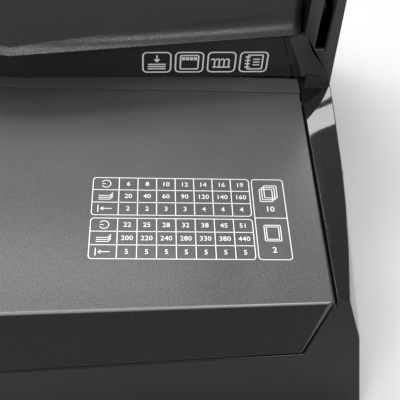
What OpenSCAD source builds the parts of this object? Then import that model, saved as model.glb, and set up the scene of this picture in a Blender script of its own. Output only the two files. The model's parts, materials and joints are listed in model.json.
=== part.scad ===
// Manual plastic-comb binding machine: punch, comb opener, hood, table cover and chip tray.
// Millimetres. X runs along the paper slot, -Y is the front, Z is up from the desk.

/* [Base] */
// How far the foot stands out beyond the columns, each side
side_flare = 8; // [6:0.5:16]
// Depth of the base at its foot
body_d = 290; // [286:1:310]
// Height of the paper table above the desk
table_h = 84; // [80:1:96]
// Height of the rubber feet
foot_h = 4; // [3:0.5:6]
// Radius of a rubber foot
foot_r = 10; // [7:0.5:13]
// Distance of the feet from the base's sides
foot_in = 34; // [28:1:50]
// Wall of the moulded casings
wall = 3; // [2.5:0.1:3.4]
// Thickness of the steel bottom plate
plate_t = 1.5; // [1:0.1:2]
// Height at which the sides begin to draw in
flare_z = 57; // [50:1:62]
// How far each front corner has drawn in at that height
flare_draw = 10.5; // [8:0.5:12]
// How far each front corner has drawn in at the top
top_draw = 20; // [17:0.5:22]
// How far the top's front lies behind the foot's front
front_rake = 14.5; // [13:0.5:18]
// How far the top's rear lies before the foot's rear
rear_rake = 2; // [0:0.5:3]
// Angle of the shallow prow of table and fascia
prow_a = 2.45; // [1:0.05:3]

/* [Table cover] */
// How far the table cover reaches past the side frames' inner faces
cover_over = 6.5; // [5:0.1:7.5]
// How far the cover's front edge lies behind the foot's front
cover_rake = 13.5; // [12:0.5:14]
// Gap round the cover
cover_gap = 1; // [0.8:0.1:1.5]
// Height of the apron at the middle
apron_h = 40.5; // [34:0.5:44]
// Height of the apron at its ends
apron_end_h = 36; // [30:0.5:40]
// How far the apron's ends draw in at the bottom
apron_draw = 10.5; // [6:0.5:14]
// Lean of the apron
apron_a = 9.2; // [6:0.1:11]
// Radius of the cover's hinge pins
cover_pin_r = 2; // [1.5:0.1:2.2]

/* [Punch] */
// Distance between the side frames
throat_w = 301; // [300:1:304]
// Thickness of the side frames
frame_t = 3; // [2:0.1:3.4]
// Distance from the base's rear to the fascia
fascia_set = 124.7; // [122:0.1:127]
// Depth of the entry strip before the fascia
entry_d = 6; // [4:0.5:8]
// Height of the paper slot
slot_h = 3.2; // [2.5:0.1:4]
// Height of the slot's mouth under the fascia
mouth_h = 1.9; // [1.5:0.1:2.4]
// Thickness of die and stripper plates
die_t = 3; // [2:0.1:3.4]
// Number of punch pins
pin_n = 21; // [19:1:21]
// Spacing of the punch pins
pin_pitch = 14.2875; // [14:0.0125:14.3]
// Length of a punched hole
pin_l = 7.9; // [7:0.1:8.4]
// Width of a punched hole
pin_w = 2.9; // [2.5:0.1:3.2]
// Distance from the fascia to the row of pins
pin_set = 30.7; // [30:0.1:32]
// Travel of the punch bar
punch_stroke = 8.5; // [7.5:0.1:9]
// Depth of the punch bar
bar_d = 36; // [34:1:37]
// Thickness of the punch bar
bar_t = 8; // [7:0.5:8.5]
// Height of the drive shaft above the table
shaft_rise = 36; // [35:0.5:38]
// Radius of the drive shaft
shaft_r = 7; // [6:0.5:7.5]

/* [Handle] */
// Length of the handle arms
handle_r = 205; // [200:1:220]
// Forward lean of the arms at rest
handle_lean = 10; // [8:1:14]
// Swing of the handle
handle_swing = 80; // [60:1:80]
// Thickness of an arm
arm_t = 4; // [3:0.1:4.6]
// Width of an arm
arm_w = 20; // [16:1:22]
// Radius of the handle bar
bar_r = 8; // [6:0.5:9]
// Radius of the grip
grip_r = 12; // [10:0.5:14]
// Bare length of the bar between the grip and each arm
grip_gap = 13.6; // [8:0.1:60]

/* [Columns and hood] */
// Width of a column
column_w = 20.4; // [20:0.1:22]
// Depth of a column
column_d = 116; // [112:1:118]
// Height of a column above the table
column_h = 94; // [92:1:100]
// Inward draft of a column's outer face
column_draft = 2; // [0:0.1:2.4]
// Rounding of a column's top edges
column_round = 15; // [8:1:22]
// Width of the arm's slot in a column
arm_slot = 5.3; // [5.2:0.1:6]
// Height of the hood's lip above the table
hood_rise = 34; // [33:0.5:37]
// Height of the hood's top above the table
hood_h = 91; // [86:1:92]
// Angle of the hood's prow
hood_prow_a = 8.87; // [7:0.01:9]
// How far the hood's lip stands before the fascia, at the middle
hood_over = 20.2; // [16:0.1:22]
// Wall of the hood
hood_t = 2.5; // [2:0.1:2.6]
// Backward lean of the hood's face
face_lean = 20; // [14:1:22]
// Radius of the hood's hinge pins
hood_pin_r = 3; // [2.5:0.1:3.5]
// Height of the deck under the hood, above the table
deck_rise = 50; // [49.5:0.1:51]
// Thickness of the deck
deck_t = 2; // [1.5:0.1:2.5]

/* [Comb opener] */
// Module of pinions and racks
gear_m = 1.5; // [1.4:0.05:1.5]
// Width of a pinion
pinion_w = 10; // [6:1:12]
// Distance of the pinions from the middle
pinion_x = 120; // [110:1:130]
// Swing of the opener lever
lever_swing = 70; // [40:1:70]
// Length of the opener lever
lever_l = 62; // [50:1:70]
// Height of the tines above the deck
tine_h = 20; // [16:0.5:21]
// Thickness of tines and hooks
tine_t = 1.5; // [1:0.1:2]

/* [Margin stop] */
// Travel of the depth stop
stop_travel = 3; // [2:0.1:3.5]
// Turn of the margin knob
knob_turn = 180; // [120:5:180]
// Radius of the margin knob
knob_r = 11; // [9:0.5:13]
// Thickness of the margin knob
knob_t = 7; // [5:0.5:7.5]

// Travel of the edge guide
guide_travel = 40; // [20:1:60]

/* [Chip tray and comb tray] */
// Depth of the chip tray
chip_d = 60; // [52:1:60]
// Height of the chip tray
chip_h = 38; // [30:1:40]
// Room between the chip tray and the base's side
chip_gap = 10; // [8:0.5:20]
// Wall of the trays
tray_t = 2; // [1.5:0.1:2.5]
// Height of the comb tray's floor above the bottom plate
comb_floor = 24; // [18:1:28]
// Height of the comb tray's rim above the bottom plate
comb_rim = 66; // [60:1:67]

/* [Hidden] */
$fn = 48;
eps = 0.1;
// Radial clearance of turning and of fixed pins, gap of sliding pieces, of a cam to its follower, of panels
run_fit = 0.05;
fixed_fit = 0.02;
slide_gap = 0.3;
cam_gap = 0.3;
part_gap = 0.6;

// Main planes
front_y = -body_d / 2;
rear_y = body_d / 2;
fascia_y = rear_y - fascia_set;
top_y0 = front_y + front_rake;
cover_y0 = front_y + cover_rake;
cover_y1 = fascia_y - entry_d;
pin_y = fascia_y + pin_set;
shaft_z = table_h + shaft_rise;
plate_z = foot_h + plate_t;
frame_in = throat_w / 2;
frame_out = frame_in + frame_t;
hood_half = frame_out + 1.5;
col_in = hood_half + part_gap;
col_out = col_in + column_w;
col_y0 = fascia_y + 3.7;
col_y1 = col_y0 + column_d;
col_top = table_h + column_h;
arm_x = col_in + column_w / 2 - 0.2;
frame_y1 = col_y1 - 7;
body_half = col_out + side_flare;

// Table cover
cover_half = frame_in + cover_over;
well_half = cover_half + cover_gap;
cover_axis = [cover_y1 - 6.3, table_h - wall];
ear_w = 6;
pin_grip = 6;

// Punch
die_y1 = pin_y + 29;
strip_z = table_h + slot_h;
bar_z = strip_z + 13.8;
bar_top = bar_z + bar_t;
bar_y0 = pin_y - 12;
comb_row = (pin_n - 1) / 2 * pin_pitch;
pin_xs = [for (i = [0:pin_n - 1]) i * pin_pitch - comb_row];
rod_x = 7 * pin_pitch;
rod_y = pin_y + 17;
rod_r = 4;
spring_wire = 1.2;
spring_r = rod_r + 1.4;
spring_turns = 5;
pocket_h = 5;
spring_h = bar_z + pocket_h - strip_z - die_t;
die_fit = 0.1;
punch_rate = punch_stroke / (handle_swing * PI / 180);
cam_x = 30;
cam_w = 10;
bush_r = shaft_r + 2.5;
eye_r = arm_w / 2 + 2;
bar_wall = 1.5;
grip_half = arm_x - arm_t / 2 - grip_gap;
bar_axis = [pin_y - handle_r * sin(handle_lean), shaft_z + handle_r * cos(handle_lean)];

// Fascia and hood
fascia_z0 = table_h + mouth_h;
fascia_z1 = table_h + hood_rise - 1;
crease_top_x = frame_in - 7.2;
crease_low_x = frame_in + 3.9;
rim_z = table_h + 4.5;
rim_x = col_in + 5.8;
scoop_top_w = 1.6;
scoop_low_w = 17.2;
scoop_sag = 0.8;
riser_a = 5.7;
riser_y = fascia_y + 2.2;
hood_z = table_h + hood_rise;
hood_top = table_h + hood_h;
hood_y = fascia_y - hood_over;
hood_rear = col_y1 - 4;
hood_low = table_h + deck_rise + deck_t + 2;
hood_rear_low = hood_top - 18;
brow_z = hood_top - 13;
crown_run = 22;
hood_axis = [hood_rear - 8, hood_top - 12];
deck_z = table_h + deck_rise;
deck_top = deck_z + deck_t;

// Comb opener
pinion_n = 16;
pressure_a = 20;
tooth_play = 0.15;
pinion_r = pinion_n * gear_m / 2;
opener_y = pin_y + 37;
opener_z = deck_z - 4 - pinion_r;
opener_r = 4;
tooth_pitch = PI * gear_m;
rack_w = 6;
rack_top = deck_top + slide_gap;
hook_travel = pinion_r * lever_swing * PI / 180;
hook_y0 = opener_y - 8;
hook_y1 = opener_y + 21;
tine_y = hook_y1 + 3;
hook_w = 2.6;
hook_shift = 4.2;
hook_reach = 2;
hook_plate_t = 2;
hook_top = deck_top + tine_h - 2;
hook_row = comb_row + hook_shift + hook_w / 2;
tine_w = 4.4;
lever_lean = -35;
lever_half = 5;
lever_eye = 9;
cap_half = 7;
cap_l = 16;
lever_gap = 1;
lever_t = 4;
cap_t = 3;

// Margin stop
knob_y = pin_y + 67;
knob_z = table_h + 14;
knob_shaft_r = 4;
stop_base = 12;
stop_rate = stop_travel / (knob_turn * PI / 180);
stop_x = [frame_in - 11.5, frame_in - 3.5];
stop_y = pin_y + pin_w / 2 + 5;
stop_tail_y = knob_y - stop_base - cam_gap;
stop_d = 12;
stop_z = [table_h + 0.2, strip_z - 0.2];
knob_gap = 1;
grip_w = 6;
groove_y = [cover_y1 + 4.7, cover_y1 + 6.7];
guide_x = [-frame_in + 0.5, -frame_in + 12.5];

// Trays
chip_y = pin_y - 15;
chip_x = [-body_half + chip_gap, frame_in - 4.5];
chip_z = plate_z + slide_gap;
comb_half = frame_in - 0.5;
comb_y = [top_y0 + 9.5, cover_y1 - 5];

// Screws, one shape at every place
screw_r = 1.5;
head_r = 3;
head_h = 1.5;
boss_r = 4;
boss_h = 10;
foot_x = body_half - foot_in;
boss_spots = [[foot_x + 15, rear_y - wall - 3], [foot_x, prow(front_y + wall + 4, prow_a, foot_x)]];
rear_spots = [0.4 * frame_in, frame_in - 10.5];
deck_spots = [pin_y + 6, tine_y + 14];
deck_screw_x = frame_in - 3.4;

// Helpers

// Box from its ranges along X, Y and Z
module block(x, y, z)
  translate([x[0], y[0], z[0]]) cube([x[1] - x[0], y[1] - y[0], z[1] - z[0]]);

// Solid of a Y-Z profile between two X places
module yz(x0, x1) translate([x0, 0, 0]) rotate([90, 0, 90]) linear_extrude(x1 - x0) children();

// Solid of an X-Z profile between two Y places
module xz(y0, y1) translate([0, y1, 0]) rotate([90, 0, 0]) linear_extrude(y1 - y0) children();

// Round bar along X at a Y-Z place
module rod(x0, x1, at, r) translate([x0, at[0], at[1]]) rotate([0, 90, 0]) cylinder(h = x1 - x0, r = r);

// The children and their mirror image across the machine
module both() {
  children();
  mirror([1, 0, 0]) children();
}

// Y of a prow's line at a distance from the middle
function prow(y, a, x) = y + tan(a) * abs(x);

// Plan of a prow-shaped strip: from one line to another, over a half width
module prow_plan(y0, a0, y1, a1, half)
  polygon([[-half, prow(y0, a0, half)], [0, y0], [half, prow(y0, a0, half)],
    [half, prow(y1, a1, half)], [0, y1], [-half, prow(y1, a1, half)]]);

function mix(a, b, u) = a + (b - a) * u;

// Solid between a front and a back grid of points, both with rows from the left or the top
module sheet(front, back) {
  n = len(front);
  m = len(front[0]);
  k = n * m;
  around = concat([for (j = [0:m - 1]) j], [for (i = [1:n - 1]) i * m + m - 1],
    [for (j = [m - 2:-1:0]) (n - 1) * m + j], [for (i = [n - 2:-1:1]) i * m]);
  tops = [for (i = [0:n - 2], j = [0:m - 2]) let (p = i * m + j)
    each [[p, p + 1, p + m], [p + 1, p + m + 1, p + m]]];
  unders = [for (t = tops) [t[0] + k, t[2] + k, t[1] + k]];
  rims = [for (i = [0:len(around) - 1]) let (p = around[i], q = around[(i + 1) % len(around)])
    each [[p, p + k, q], [q, p + k, q + k]]];
  polyhedron([for (row = concat(front, back), p = row) p], concat(tops, unders, rims));
}

// Outline whose support grows at a steady rate as it turns, so a flat follower moves evenly
module rise_cam(base, rate, span, start) {
  rise = [for (t = [0:span / 16:span]) let (a = start - t, h = base + rate * t * PI / 180)
    h * [cos(a), sin(a)] - rate * [-sin(a), cos(a)]];
  heel = [for (t = [span + 10:10:360]) base * [cos(start - t), sin(start - t)]];
  polygon(concat(rise, heel));
}

// Pan-head screw pointing along +Z, its head below
module screw(length) {
  translate([0, 0, -head_h]) cylinder(h = head_h, r = head_r);
  cylinder(h = length, r = screw_r);
}

// Base

// Half plan of the base at one level, from the rear to the middle of the front
function side_line(rear_half, front_half, y0, y1) =
  let (yc = prow(y0, prow_a, front_half))
  concat([[rear_half, y1]], [for (t = [0:0.2:1])
    [rear_half - (rear_half - front_half) * t * t, col_y0 - t * (col_y0 - yc)]]);

module base_level(rear_half, front_half, y0, y1, z) {
  side = side_line(rear_half, front_half, y0, y1);
  n = len(side);
  translate([0, 0, z]) linear_extrude(eps)
    polygon(concat(side, [[0, y0]], [for (i = [n - 1:-1:0]) [-side[i][0], side[i][1]]]));
}

// The flared body, drawn in all round by an inset
module base_form(inset) {
  mid_half = body_half - side_flare * (flare_z - foot_h) / (table_h - foot_h);
  mid_rake = front_rake * (flare_z - foot_h) / (table_h - foot_h) - 0.6;
  hull() {
    base_level(body_half - inset, body_half - inset, front_y + inset, rear_y - inset,
      inset > 0 ? foot_h - 1 : foot_h);
    base_level(mid_half - inset, body_half - flare_draw - inset, front_y + mid_rake + inset, rear_y - inset,
      flare_z);
    base_level(col_out - inset, body_half - top_draw - inset, top_y0 + inset, rear_y - rear_rake - inset,
      table_h - inset - eps);
  }
}

// Outline of the apron in X-Z, grown by a gap
module apron_outline(gap)
  polygon([[-cover_half - gap, table_h + gap], [cover_half + gap, table_h + gap],
    [cover_half - apron_draw + gap, table_h - apron_end_h - gap], [0, table_h - apron_h - gap],
    [-cover_half + apron_draw - gap, table_h - apron_end_h - gap]]);

module chip_window(gap)
  block([-2 * body_half, -frame_out], [chip_y - gap, chip_y + chip_d + gap], [0, chip_z + chip_h + gap]);

module base_casing() color([0.05, 0.05, 0.06]) difference() {
  union() {
    difference() {
      base_form(0);
      base_form(wall);
      block([-well_half, well_half], [front_y - 1, frame_y1 + 1], [table_h - wall - 1, table_h + 1]);
      xz(front_y - 1, top_y0 + 12) apron_outline(cover_gap);
      chip_window(0.5);
    }
    both() {
      // Bosses of the cover's hinge pins, ledges of the entry strip, bosses of the bottom screws
      block([well_half + 0.4, well_half + 7], [cover_axis[0] - 6, cover_axis[0] + 6],
        [cover_axis[1] - 7, table_h - 1]);
      block([frame_in - 0.5, well_half + 7], [cover_y1 + cover_gap + 0.7, col_y0 + 1],
        [table_h - wall - 5, table_h - wall]);
      for (p = boss_spots) translate([p[0], p[1], plate_z]) cylinder(h = boss_h, r = boss_r);
    }
  }
  both() {
    rod(well_half - 1, well_half + pin_grip, cover_axis, cover_pin_r + fixed_fit);
    for (p = boss_spots) translate([p[0], p[1], plate_z - 1])
      cylinder(h = boss_h - 1, r = screw_r + fixed_fit);
  }
}

module base_plate() color("silver") difference() {
  intersection() {
    base_form(wall + 0.2);
    block([-2 * body_half, 2 * body_half], [-body_d, body_d], [foot_h, plate_z]);
  }
  both() for (p = boss_spots) translate([p[0], p[1], 0]) cylinder(h = table_h, r = screw_r + 0.1);
}

module rubber_feet() color([0.12, 0.12, 0.12]) both()
  for (y = [front_y + 35, rear_y - 35]) translate([foot_x, y, 0]) cylinder(h = foot_h, r = foot_r);

module base_screws() color("gray") both()
  for (p = boss_spots) translate([p[0], p[1], foot_h]) screw(plate_t + boss_h - 3);

module comb_tray() color([0.16, 0.16, 0.17]) difference() {
  block([-comb_half, comb_half], comb_y, [plate_z, plate_z + comb_rim]);
  block([-comb_half + tray_t, comb_half - tray_t], [comb_y[0] + tray_t, comb_y[1] - tray_t],
    [plate_z + comb_floor, table_h]);
  block([-comb_half + tray_t, comb_half - tray_t], [comb_y[0] + tray_t, comb_y[1] - tray_t],
    [0, plate_z + comb_floor - tray_t]);
}

module entry_strip() color([0.2, 0.2, 0.21]) difference() {
  block([-well_half + 0.5, well_half - 0.5], [cover_y1 + cover_gap, col_y0 + 3], [table_h - wall, table_h]);
  block([guide_x[0] - 1, guide_x[1] + guide_travel + 1], groove_y, [table_h - 2, table_h + 1]);
}

// Columns

module column_profile(inset) {
  r = column_round - inset;
  y = [col_y0 + inset, col_y1 - inset];
  low = inset > 0 ? table_h - 1 : table_h;
  top = col_top - inset;
  translate([y[0], low]) square([y[1] - y[0], top - r - low]);
  translate([y[0] + r, low]) square([y[1] - y[0] - 2 * r, top - low]);
  for (c = [y[0] + r, y[1] - r]) translate([c, top - r]) circle(r = r);
}

// Everything outside the drafted outer face, set in by an inset
module outside_draft(inset)
  translate([col_out - inset, 0, table_h]) rotate([0, -column_draft, 0])
    translate([0, -body_d, -body_d]) cube(2 * body_d);

// Where the fascia's slanted end lies at a height
function crease_x(z) =
  crease_low_x + (z - fascia_z0) * (crease_top_x - crease_low_x) / (fascia_z1 - fascia_z0);

// Hollow that leads from the column's front back to the fascia, above a rim at its foot
function scoop_x(z) = let (t = min(1, (fascia_z1 - z) / (fascia_z1 - rim_z)))
  col_in + mix(scoop_top_w, scoop_low_w, t * t * (3 - 2 * t));
function scoop_row(z, forward) = let (x = crease_x(z) + 0.5, y = prow(fascia_y, prow_a, x))
  [for (w = [0:0.25:1])
    [mix(x, scoop_x(z), w), mix(y, col_y0 - 0.02, w) + 4 * scoop_sag * w * (1 - w) - forward, z]];
function scoop(forward) = concat([for (t = [0:1 / 6:1]) scoop_row(mix(fascia_z1, rim_z, t), forward)],
  [scoop_row(fascia_z0, forward)]);

module gusset() {
  sheet(scoop(0), scoop(-wall));
  block([rim_x, scoop_x(rim_z) + 1], [col_y0, col_y0 + wall + 1], [table_h, rim_z]);
}

module gusset_room() {
  sheet(scoop(8), scoop(0.03));
  block([col_in - 1, rim_x], [col_y0 - 1, col_y0 + wall + 1], [table_h - 1, fascia_z0]);
}

module column() {
  difference() {
    yz(col_in, col_out) column_profile(0);
    difference() {
      yz(col_in + wall, col_out) column_profile(wall);
      outside_draft(wall);
    }
    outside_draft(0);
    block([arm_x - arm_slot / 2, arm_x + arm_slot / 2], [col_y0 - 1, pin_y + 4],
      [shaft_z - eye_r, col_top + 1]);
    rod(col_in - 1, col_in + wall + 1, [pin_y, shaft_z], shaft_r + 1);
    rod(col_in - 1, col_in + wall + 1, hood_axis, hood_pin_r + fixed_fit);
    gusset_room();
  }
  gusset();
}

module left_column() color([0.1, 0.1, 0.11]) difference() {
  mirror([1, 0, 0]) column();
  rod(-col_out - 1, -col_in + 1, [opener_y, opener_z], opener_r + run_fit);
}

module right_column() color([0.1, 0.1, 0.11]) difference() {
  column();
  rod(col_in - 1, col_out + 1, [knob_y, knob_z], knob_shaft_r + run_fit);
}

module rear_panel() color([0.1, 0.1, 0.11]) difference() {
  block([-col_in, col_in], [col_y1 - wall, col_y1], [table_h, hood_rear_low - 4]);
  for (x = rear_spots, s = [-1, 1]) translate([s * x, col_y1 + 1, table_h + 8])
    rotate([90, 0, 0]) cylinder(h = wall + 2, r = screw_r + fixed_fit);
}

module rear_screws() color("gray")
  for (x = rear_spots, s = [-1, 1]) translate([s * x, col_y1, table_h + 8])
    rotate([90, 0, 0]) screw(wall + 3);

// Fascia: front panel, ledge under the hood and riser to the deck
module fascia() color([0.07, 0.07, 0.08]) {
  intersection() {
    translate([0, 0, fascia_z0]) linear_extrude(fascia_z1 - fascia_z0)
      prow_plan(fascia_y, prow_a, fascia_y + wall, prow_a, col_in);
    xz(-body_d, body_d) polygon([[-crease_low_x, fascia_z0], [crease_low_x, fascia_z0],
      [crease_top_x, fascia_z1], [-crease_top_x, fascia_z1]]);
  }
  translate([0, 0, fascia_z1 - 2]) linear_extrude(2)
    prow_plan(fascia_y + 1, prow_a, riser_y + 2, riser_a, crease_top_x);
  translate([0, 0, fascia_z1 - 2]) linear_extrude(deck_z - fascia_z1 + 2)
    prow_plan(riser_y, riser_a, riser_y + 2, riser_a, frame_in);
}

module top_deck() color([0.16, 0.16, 0.17]) difference() {
  translate([0, 0, deck_z]) linear_extrude(deck_t)
    prow_plan(riser_y, riser_a, hood_rear - 4, 0, frame_out - 1.5);
  both() {
    block([pinion_x - rack_w / 2 - 0.5, pinion_x + rack_w / 2 + 0.5],
      [hook_y0 - hook_travel - 1, hook_y1 + 1], [deck_z - 1, deck_top + 1]);
    for (y = deck_spots) translate([deck_screw_x, y, deck_z - 1])
      cylinder(h = deck_t + 2, r = screw_r + fixed_fit);
  }
}

module deck_screws() color("gray") both() for (y = deck_spots)
  translate([deck_screw_x, y, deck_top]) rotate([180, 0, 0]) screw(deck_t + 3);

// Punch unit

module frame_profile() difference() {
  polygon([[pin_y - 20, plate_z], [pin_y - 20, hood_z - 4], [pin_y - 13.5, hood_z - 1],
    [pin_y - 13.5, deck_z], [frame_y1, deck_z], [frame_y1, plate_z]]);
  translate([chip_y - 1, 0]) square([chip_d + 2, chip_z + chip_h + 1]);
  translate([pin_y, shaft_z]) circle(r = bush_r);
}

module side_frame() {
  yz(frame_in, frame_out) frame_profile();
  // Foot and deck flanges
  block([frame_out, frame_out + 12], [chip_y + chip_d + 4, frame_y1], [plate_z, plate_z + frame_t]);
  block([frame_in - 8, frame_in], [deck_spots[0] - 5, deck_spots[1] + 5], [deck_z - frame_t, deck_z]);
}

module flange_holes() for (y = deck_spots)
  translate([deck_screw_x, y, deck_z - frame_t - 1]) cylinder(h = frame_t + 2, r = screw_r + fixed_fit);

module left_frame() color("silver") difference() {
  mirror([1, 0, 0]) difference() {
    side_frame();
    flange_holes();
  }
  rod(-frame_out - 1, -frame_in + 1, [opener_y, opener_z], opener_r + run_fit);
}

module right_frame() color("silver") difference() {
  side_frame();
  flange_holes();
  rod(frame_in - 1, frame_out + 1, [opener_y, opener_z], opener_r + run_fit);
  rod(frame_in - 1, frame_out + 1, [knob_y, knob_z], knob_shaft_r + run_fit);
}

// Row of rectangular pins or holes, grown by a gap
module pin_row(gap, z0, z1) for (x = pin_xs)
  block([x - pin_l / 2 - gap, x + pin_l / 2 + gap],
    [pin_y - pin_w / 2 - gap, pin_y + pin_w / 2 + gap], [z0, z1]);

module die_plate() color("silver") difference() {
  block([-frame_in, frame_in], [col_y0 + 3, die_y1], [table_h - die_t, table_h]);
  pin_row(die_fit, table_h - die_t - 1, table_h + 1);
}

module stripper_plate() color("silver") difference() {
  block([-frame_in, frame_in], [pin_y - 19, die_y1], [strip_z, strip_z + die_t]);
  pin_row(die_fit, strip_z - 1, strip_z + die_t + 1);
}

module shaft_bushes() color("goldenrod") both() difference() {
  union() {
    rod(frame_in, frame_out, [pin_y, shaft_z], bush_r);
    rod(frame_in - 1.5, frame_in, [pin_y, shaft_z], bush_r + 1);
  }
  rod(frame_in - 3, frame_out + 1, [pin_y, shaft_z], shaft_r + run_fit);
}

module guide_rods() color("lightgray") both()
  translate([rod_x, rod_y, strip_z + die_t]) cylinder(h = bar_top + 5 - strip_z - die_t, r = rod_r);

// Helical spring as one tube of six sides, eight rings a turn
module coil(r, wire, turns, h) {
  n = turns * 8;
  rings = [for (i = [0:n]) let (a = i * 45, c = [cos(a), sin(a), 0])
    [for (b = [0:60:300]) (r + wire / 2 * cos(b)) * c
      + [0, 0, wire / 2 * (1 + sin(b)) + (h - wire) * i / n]]];
  points = [for (ring = rings, p = ring) p];
  sides = [for (i = [0:n - 1], b = [0:5]) let (p = i * 6 + b, q = i * 6 + (b + 1) % 6)
    each [[p, p + 6, q], [q, p + 6, q + 6]]];
  ends = [for (b = [1:4]) each [[0, b, b + 1], [n * 6, n * 6 + b + 1, n * 6 + b]]];
  polyhedron(points, concat(sides, ends));
}

module punch_springs() color("lightgray") both()
  translate([rod_x, rod_y, strip_z + die_t]) coil(spring_r, spring_wire, spring_turns, spring_h);

module punch_bar() color("dimgray") difference() {
  block([-frame_in + 2.5, frame_in - 2.5], [bar_y0, bar_y0 + bar_d], [bar_z, bar_top]);
  both() translate([rod_x, rod_y, bar_z - 1]) {
    cylinder(h = bar_t + 2, r = rod_r + run_fit);
    cylinder(h = pocket_h + 1, r = spring_r + 1.5);
  }
}

module punch_pins() color("lightgray") pin_row(0, strip_z + 0.8, bar_z);

// Handle

module drive_shaft() color("lightgray") rod(-arm_x - 4, arm_x + 4, [pin_y, shaft_z], shaft_r);

module punch_cams() color("dimgray") both() translate([0, pin_y, shaft_z]) yz(cam_x, cam_x + cam_w)
  difference() {
    rise_cam(shaft_z - bar_top - cam_gap, punch_rate, handle_swing, -90);
    circle(r = shaft_r + fixed_fit);
  }

module arm() translate([0, pin_y, shaft_z]) rotate([handle_lean, 0, 0])
  yz(arm_x - arm_t / 2, arm_x + arm_t / 2) difference() {
    union() {
      circle(r = eye_r);
      translate([-arm_w / 2, 0]) square([arm_w, handle_r]);
      translate([0, handle_r]) circle(r = arm_w / 2);
    }
    circle(r = shaft_r + fixed_fit);
    translate([0, handle_r]) circle(r = bar_r + fixed_fit);
  }

module left_arm() color("gray") mirror([1, 0, 0]) arm();
module right_arm() color("gray") arm();

module handle_bar() color("gray") difference() {
  rod(-arm_x - arm_t / 2 - 1, arm_x + arm_t / 2 + 1, bar_axis, bar_r);
  rod(-arm_x - arm_t, arm_x + arm_t, bar_axis, bar_r - bar_wall);
}

module handle_grip() color([0.08, 0.08, 0.08]) difference() {
  rod(-grip_half, grip_half, bar_axis, grip_r);
  rod(-grip_half - 1, grip_half + 1, bar_axis, bar_r + fixed_fit);
}

module handle_caps() color([0.08, 0.08, 0.08]) both() {
  rod(arm_x + arm_t / 2 + 1, arm_x + arm_t / 2 + 4, bar_axis, bar_r + 1.5);
  rod(arm_x - arm_t / 2 - 6, arm_x + arm_t / 2 + 1, bar_axis, bar_r - bar_wall - fixed_fit);
}

// Hood

// Profile points of the hood in Y-Z, from its middle (u = 0) to its ends (u = 1)
function lip(u) = [prow(hood_y, hood_prow_a, u * hood_half), hood_z];
function crease(u) = lip(u) + mix([5, 2.2], [6, 14], u);
function face(u, z) = crease(u)[0] + (z - crease(u)[1]) * tan(face_lean);
function shell_points(u, t) = [[face(u, hood_low) + t, hood_low - 4 * t],
  [face(u, brow_z) + t, brow_z], [face(u, brow_z) + crown_run + t / 2, hood_top - t],
  [hood_rear - t, hood_top - 2 - t], [hood_rear - t, hood_rear_low - 6 * t]];
// Flared lip: a flat facet at the middle that turns hollow towards the ends
function flare(u, t) = let (bend = lip(u) + mix([2.5, 1.1], [2.2, 3.5], u))
  (1 - t) * (1 - t) * lip(u) + 2 * t * (1 - t) * bend + t * t * crease(u);
function skirt_top(u) = [face(u, hood_low + 0.5), hood_low + 0.5];
function at_x(x, p) = [x, p[0], p[1]];
skirt_us = [-1:0.25:1];
skirt_front = [for (u = skirt_us) concat([for (t = [0:1 / 3:1]) at_x(u * hood_half, flare(abs(u), t))],
  [at_x(u * hood_half, skirt_top(abs(u)))])];
skirt_back = [for (u = skirt_us) concat(
  [for (t = [0:1 / 3:1]) at_x(u * hood_half, mix(lip(abs(u)), crease(abs(u)), t) + [hood_t, 0])],
  [at_x(u * hood_half, skirt_top(abs(u)) + [hood_t, 0])])];

module hood_section(x, points) yz(x - eps / 2, x + eps / 2) polygon(points);

module hood_shell(t) hull() {
  hood_section(0, shell_points(0, t));
  both() hood_section(hood_half - t - eps / 2, shell_points(1, t));
}

module hood() color([0.13, 0.13, 0.14]) difference() {
  union() {
    difference() {
      hood_shell(0);
      hood_shell(hood_t);
    }
    sheet(skirt_front, skirt_back);
    both()
      rod(hood_half - 6, hood_half - 1, hood_axis, hood_pin_r + 3);
  }
  both() rod(hood_half - 8, hood_half + 1, hood_axis, hood_pin_r + run_fit);
}

module hood_pins() color("lightgray") both() rod(hood_half - 6, col_in + wall, hood_axis, hood_pin_r);

// Table cover

module front_cover() color([0.25, 0.25, 0.26]) difference() {
  corner_y = prow(cover_y0, prow_a, cover_half);
  low_x = cover_half - apron_draw;
  union() {
    translate([0, 0, table_h - wall]) linear_extrude(wall)
      polygon([[-cover_half, cover_y1], [cover_half, cover_y1], [cover_half, corner_y], [0, cover_y0],
        [-cover_half, corner_y]]);
    both() {
      hull() for (back = [0, wall]) {
        for (p = [[0, apron_h], [low_x, apron_end_h]])
          translate([p[0], prow(cover_y0, prow_a, p[0]) - p[1] * tan(apron_a) + back, table_h - p[1]])
            cube([eps, eps, eps]);
        for (x = [0, cover_half - eps])
          translate([x, prow(cover_y0, prow_a, x) + back, table_h - eps]) cube([eps, eps, eps]);
      }
      // Hinge ear and side rib
      block([cover_half - 0.5 - ear_w, cover_half - 0.5], [cover_axis[0] - 4, cover_axis[0] + 4],
        [cover_axis[1] - 5, table_h - 1]);
      block([cover_half - 3, cover_half - 0.5], [corner_y + wall + 5, cover_axis[0]],
        [table_h - wall - 5, table_h - 1]);
    }
  }
  both() rod(cover_half - ear_w - 1, cover_half + 1, cover_axis, cover_pin_r + run_fit);
}

module cover_pins() color("lightgray") both()
  rod(cover_half - ear_w - 0.5, well_half + pin_grip, cover_axis, cover_pin_r);

// Chip tray

module chip_tray() color([0.16, 0.16, 0.17]) difference() {
  block(chip_x, [chip_y, chip_y + chip_d], [chip_z, chip_z + chip_h]);
  block(chip_x + [tray_t, -tray_t], [chip_y + tray_t, chip_y + chip_d - tray_t],
    [chip_z + tray_t, table_h]);
}

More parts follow.
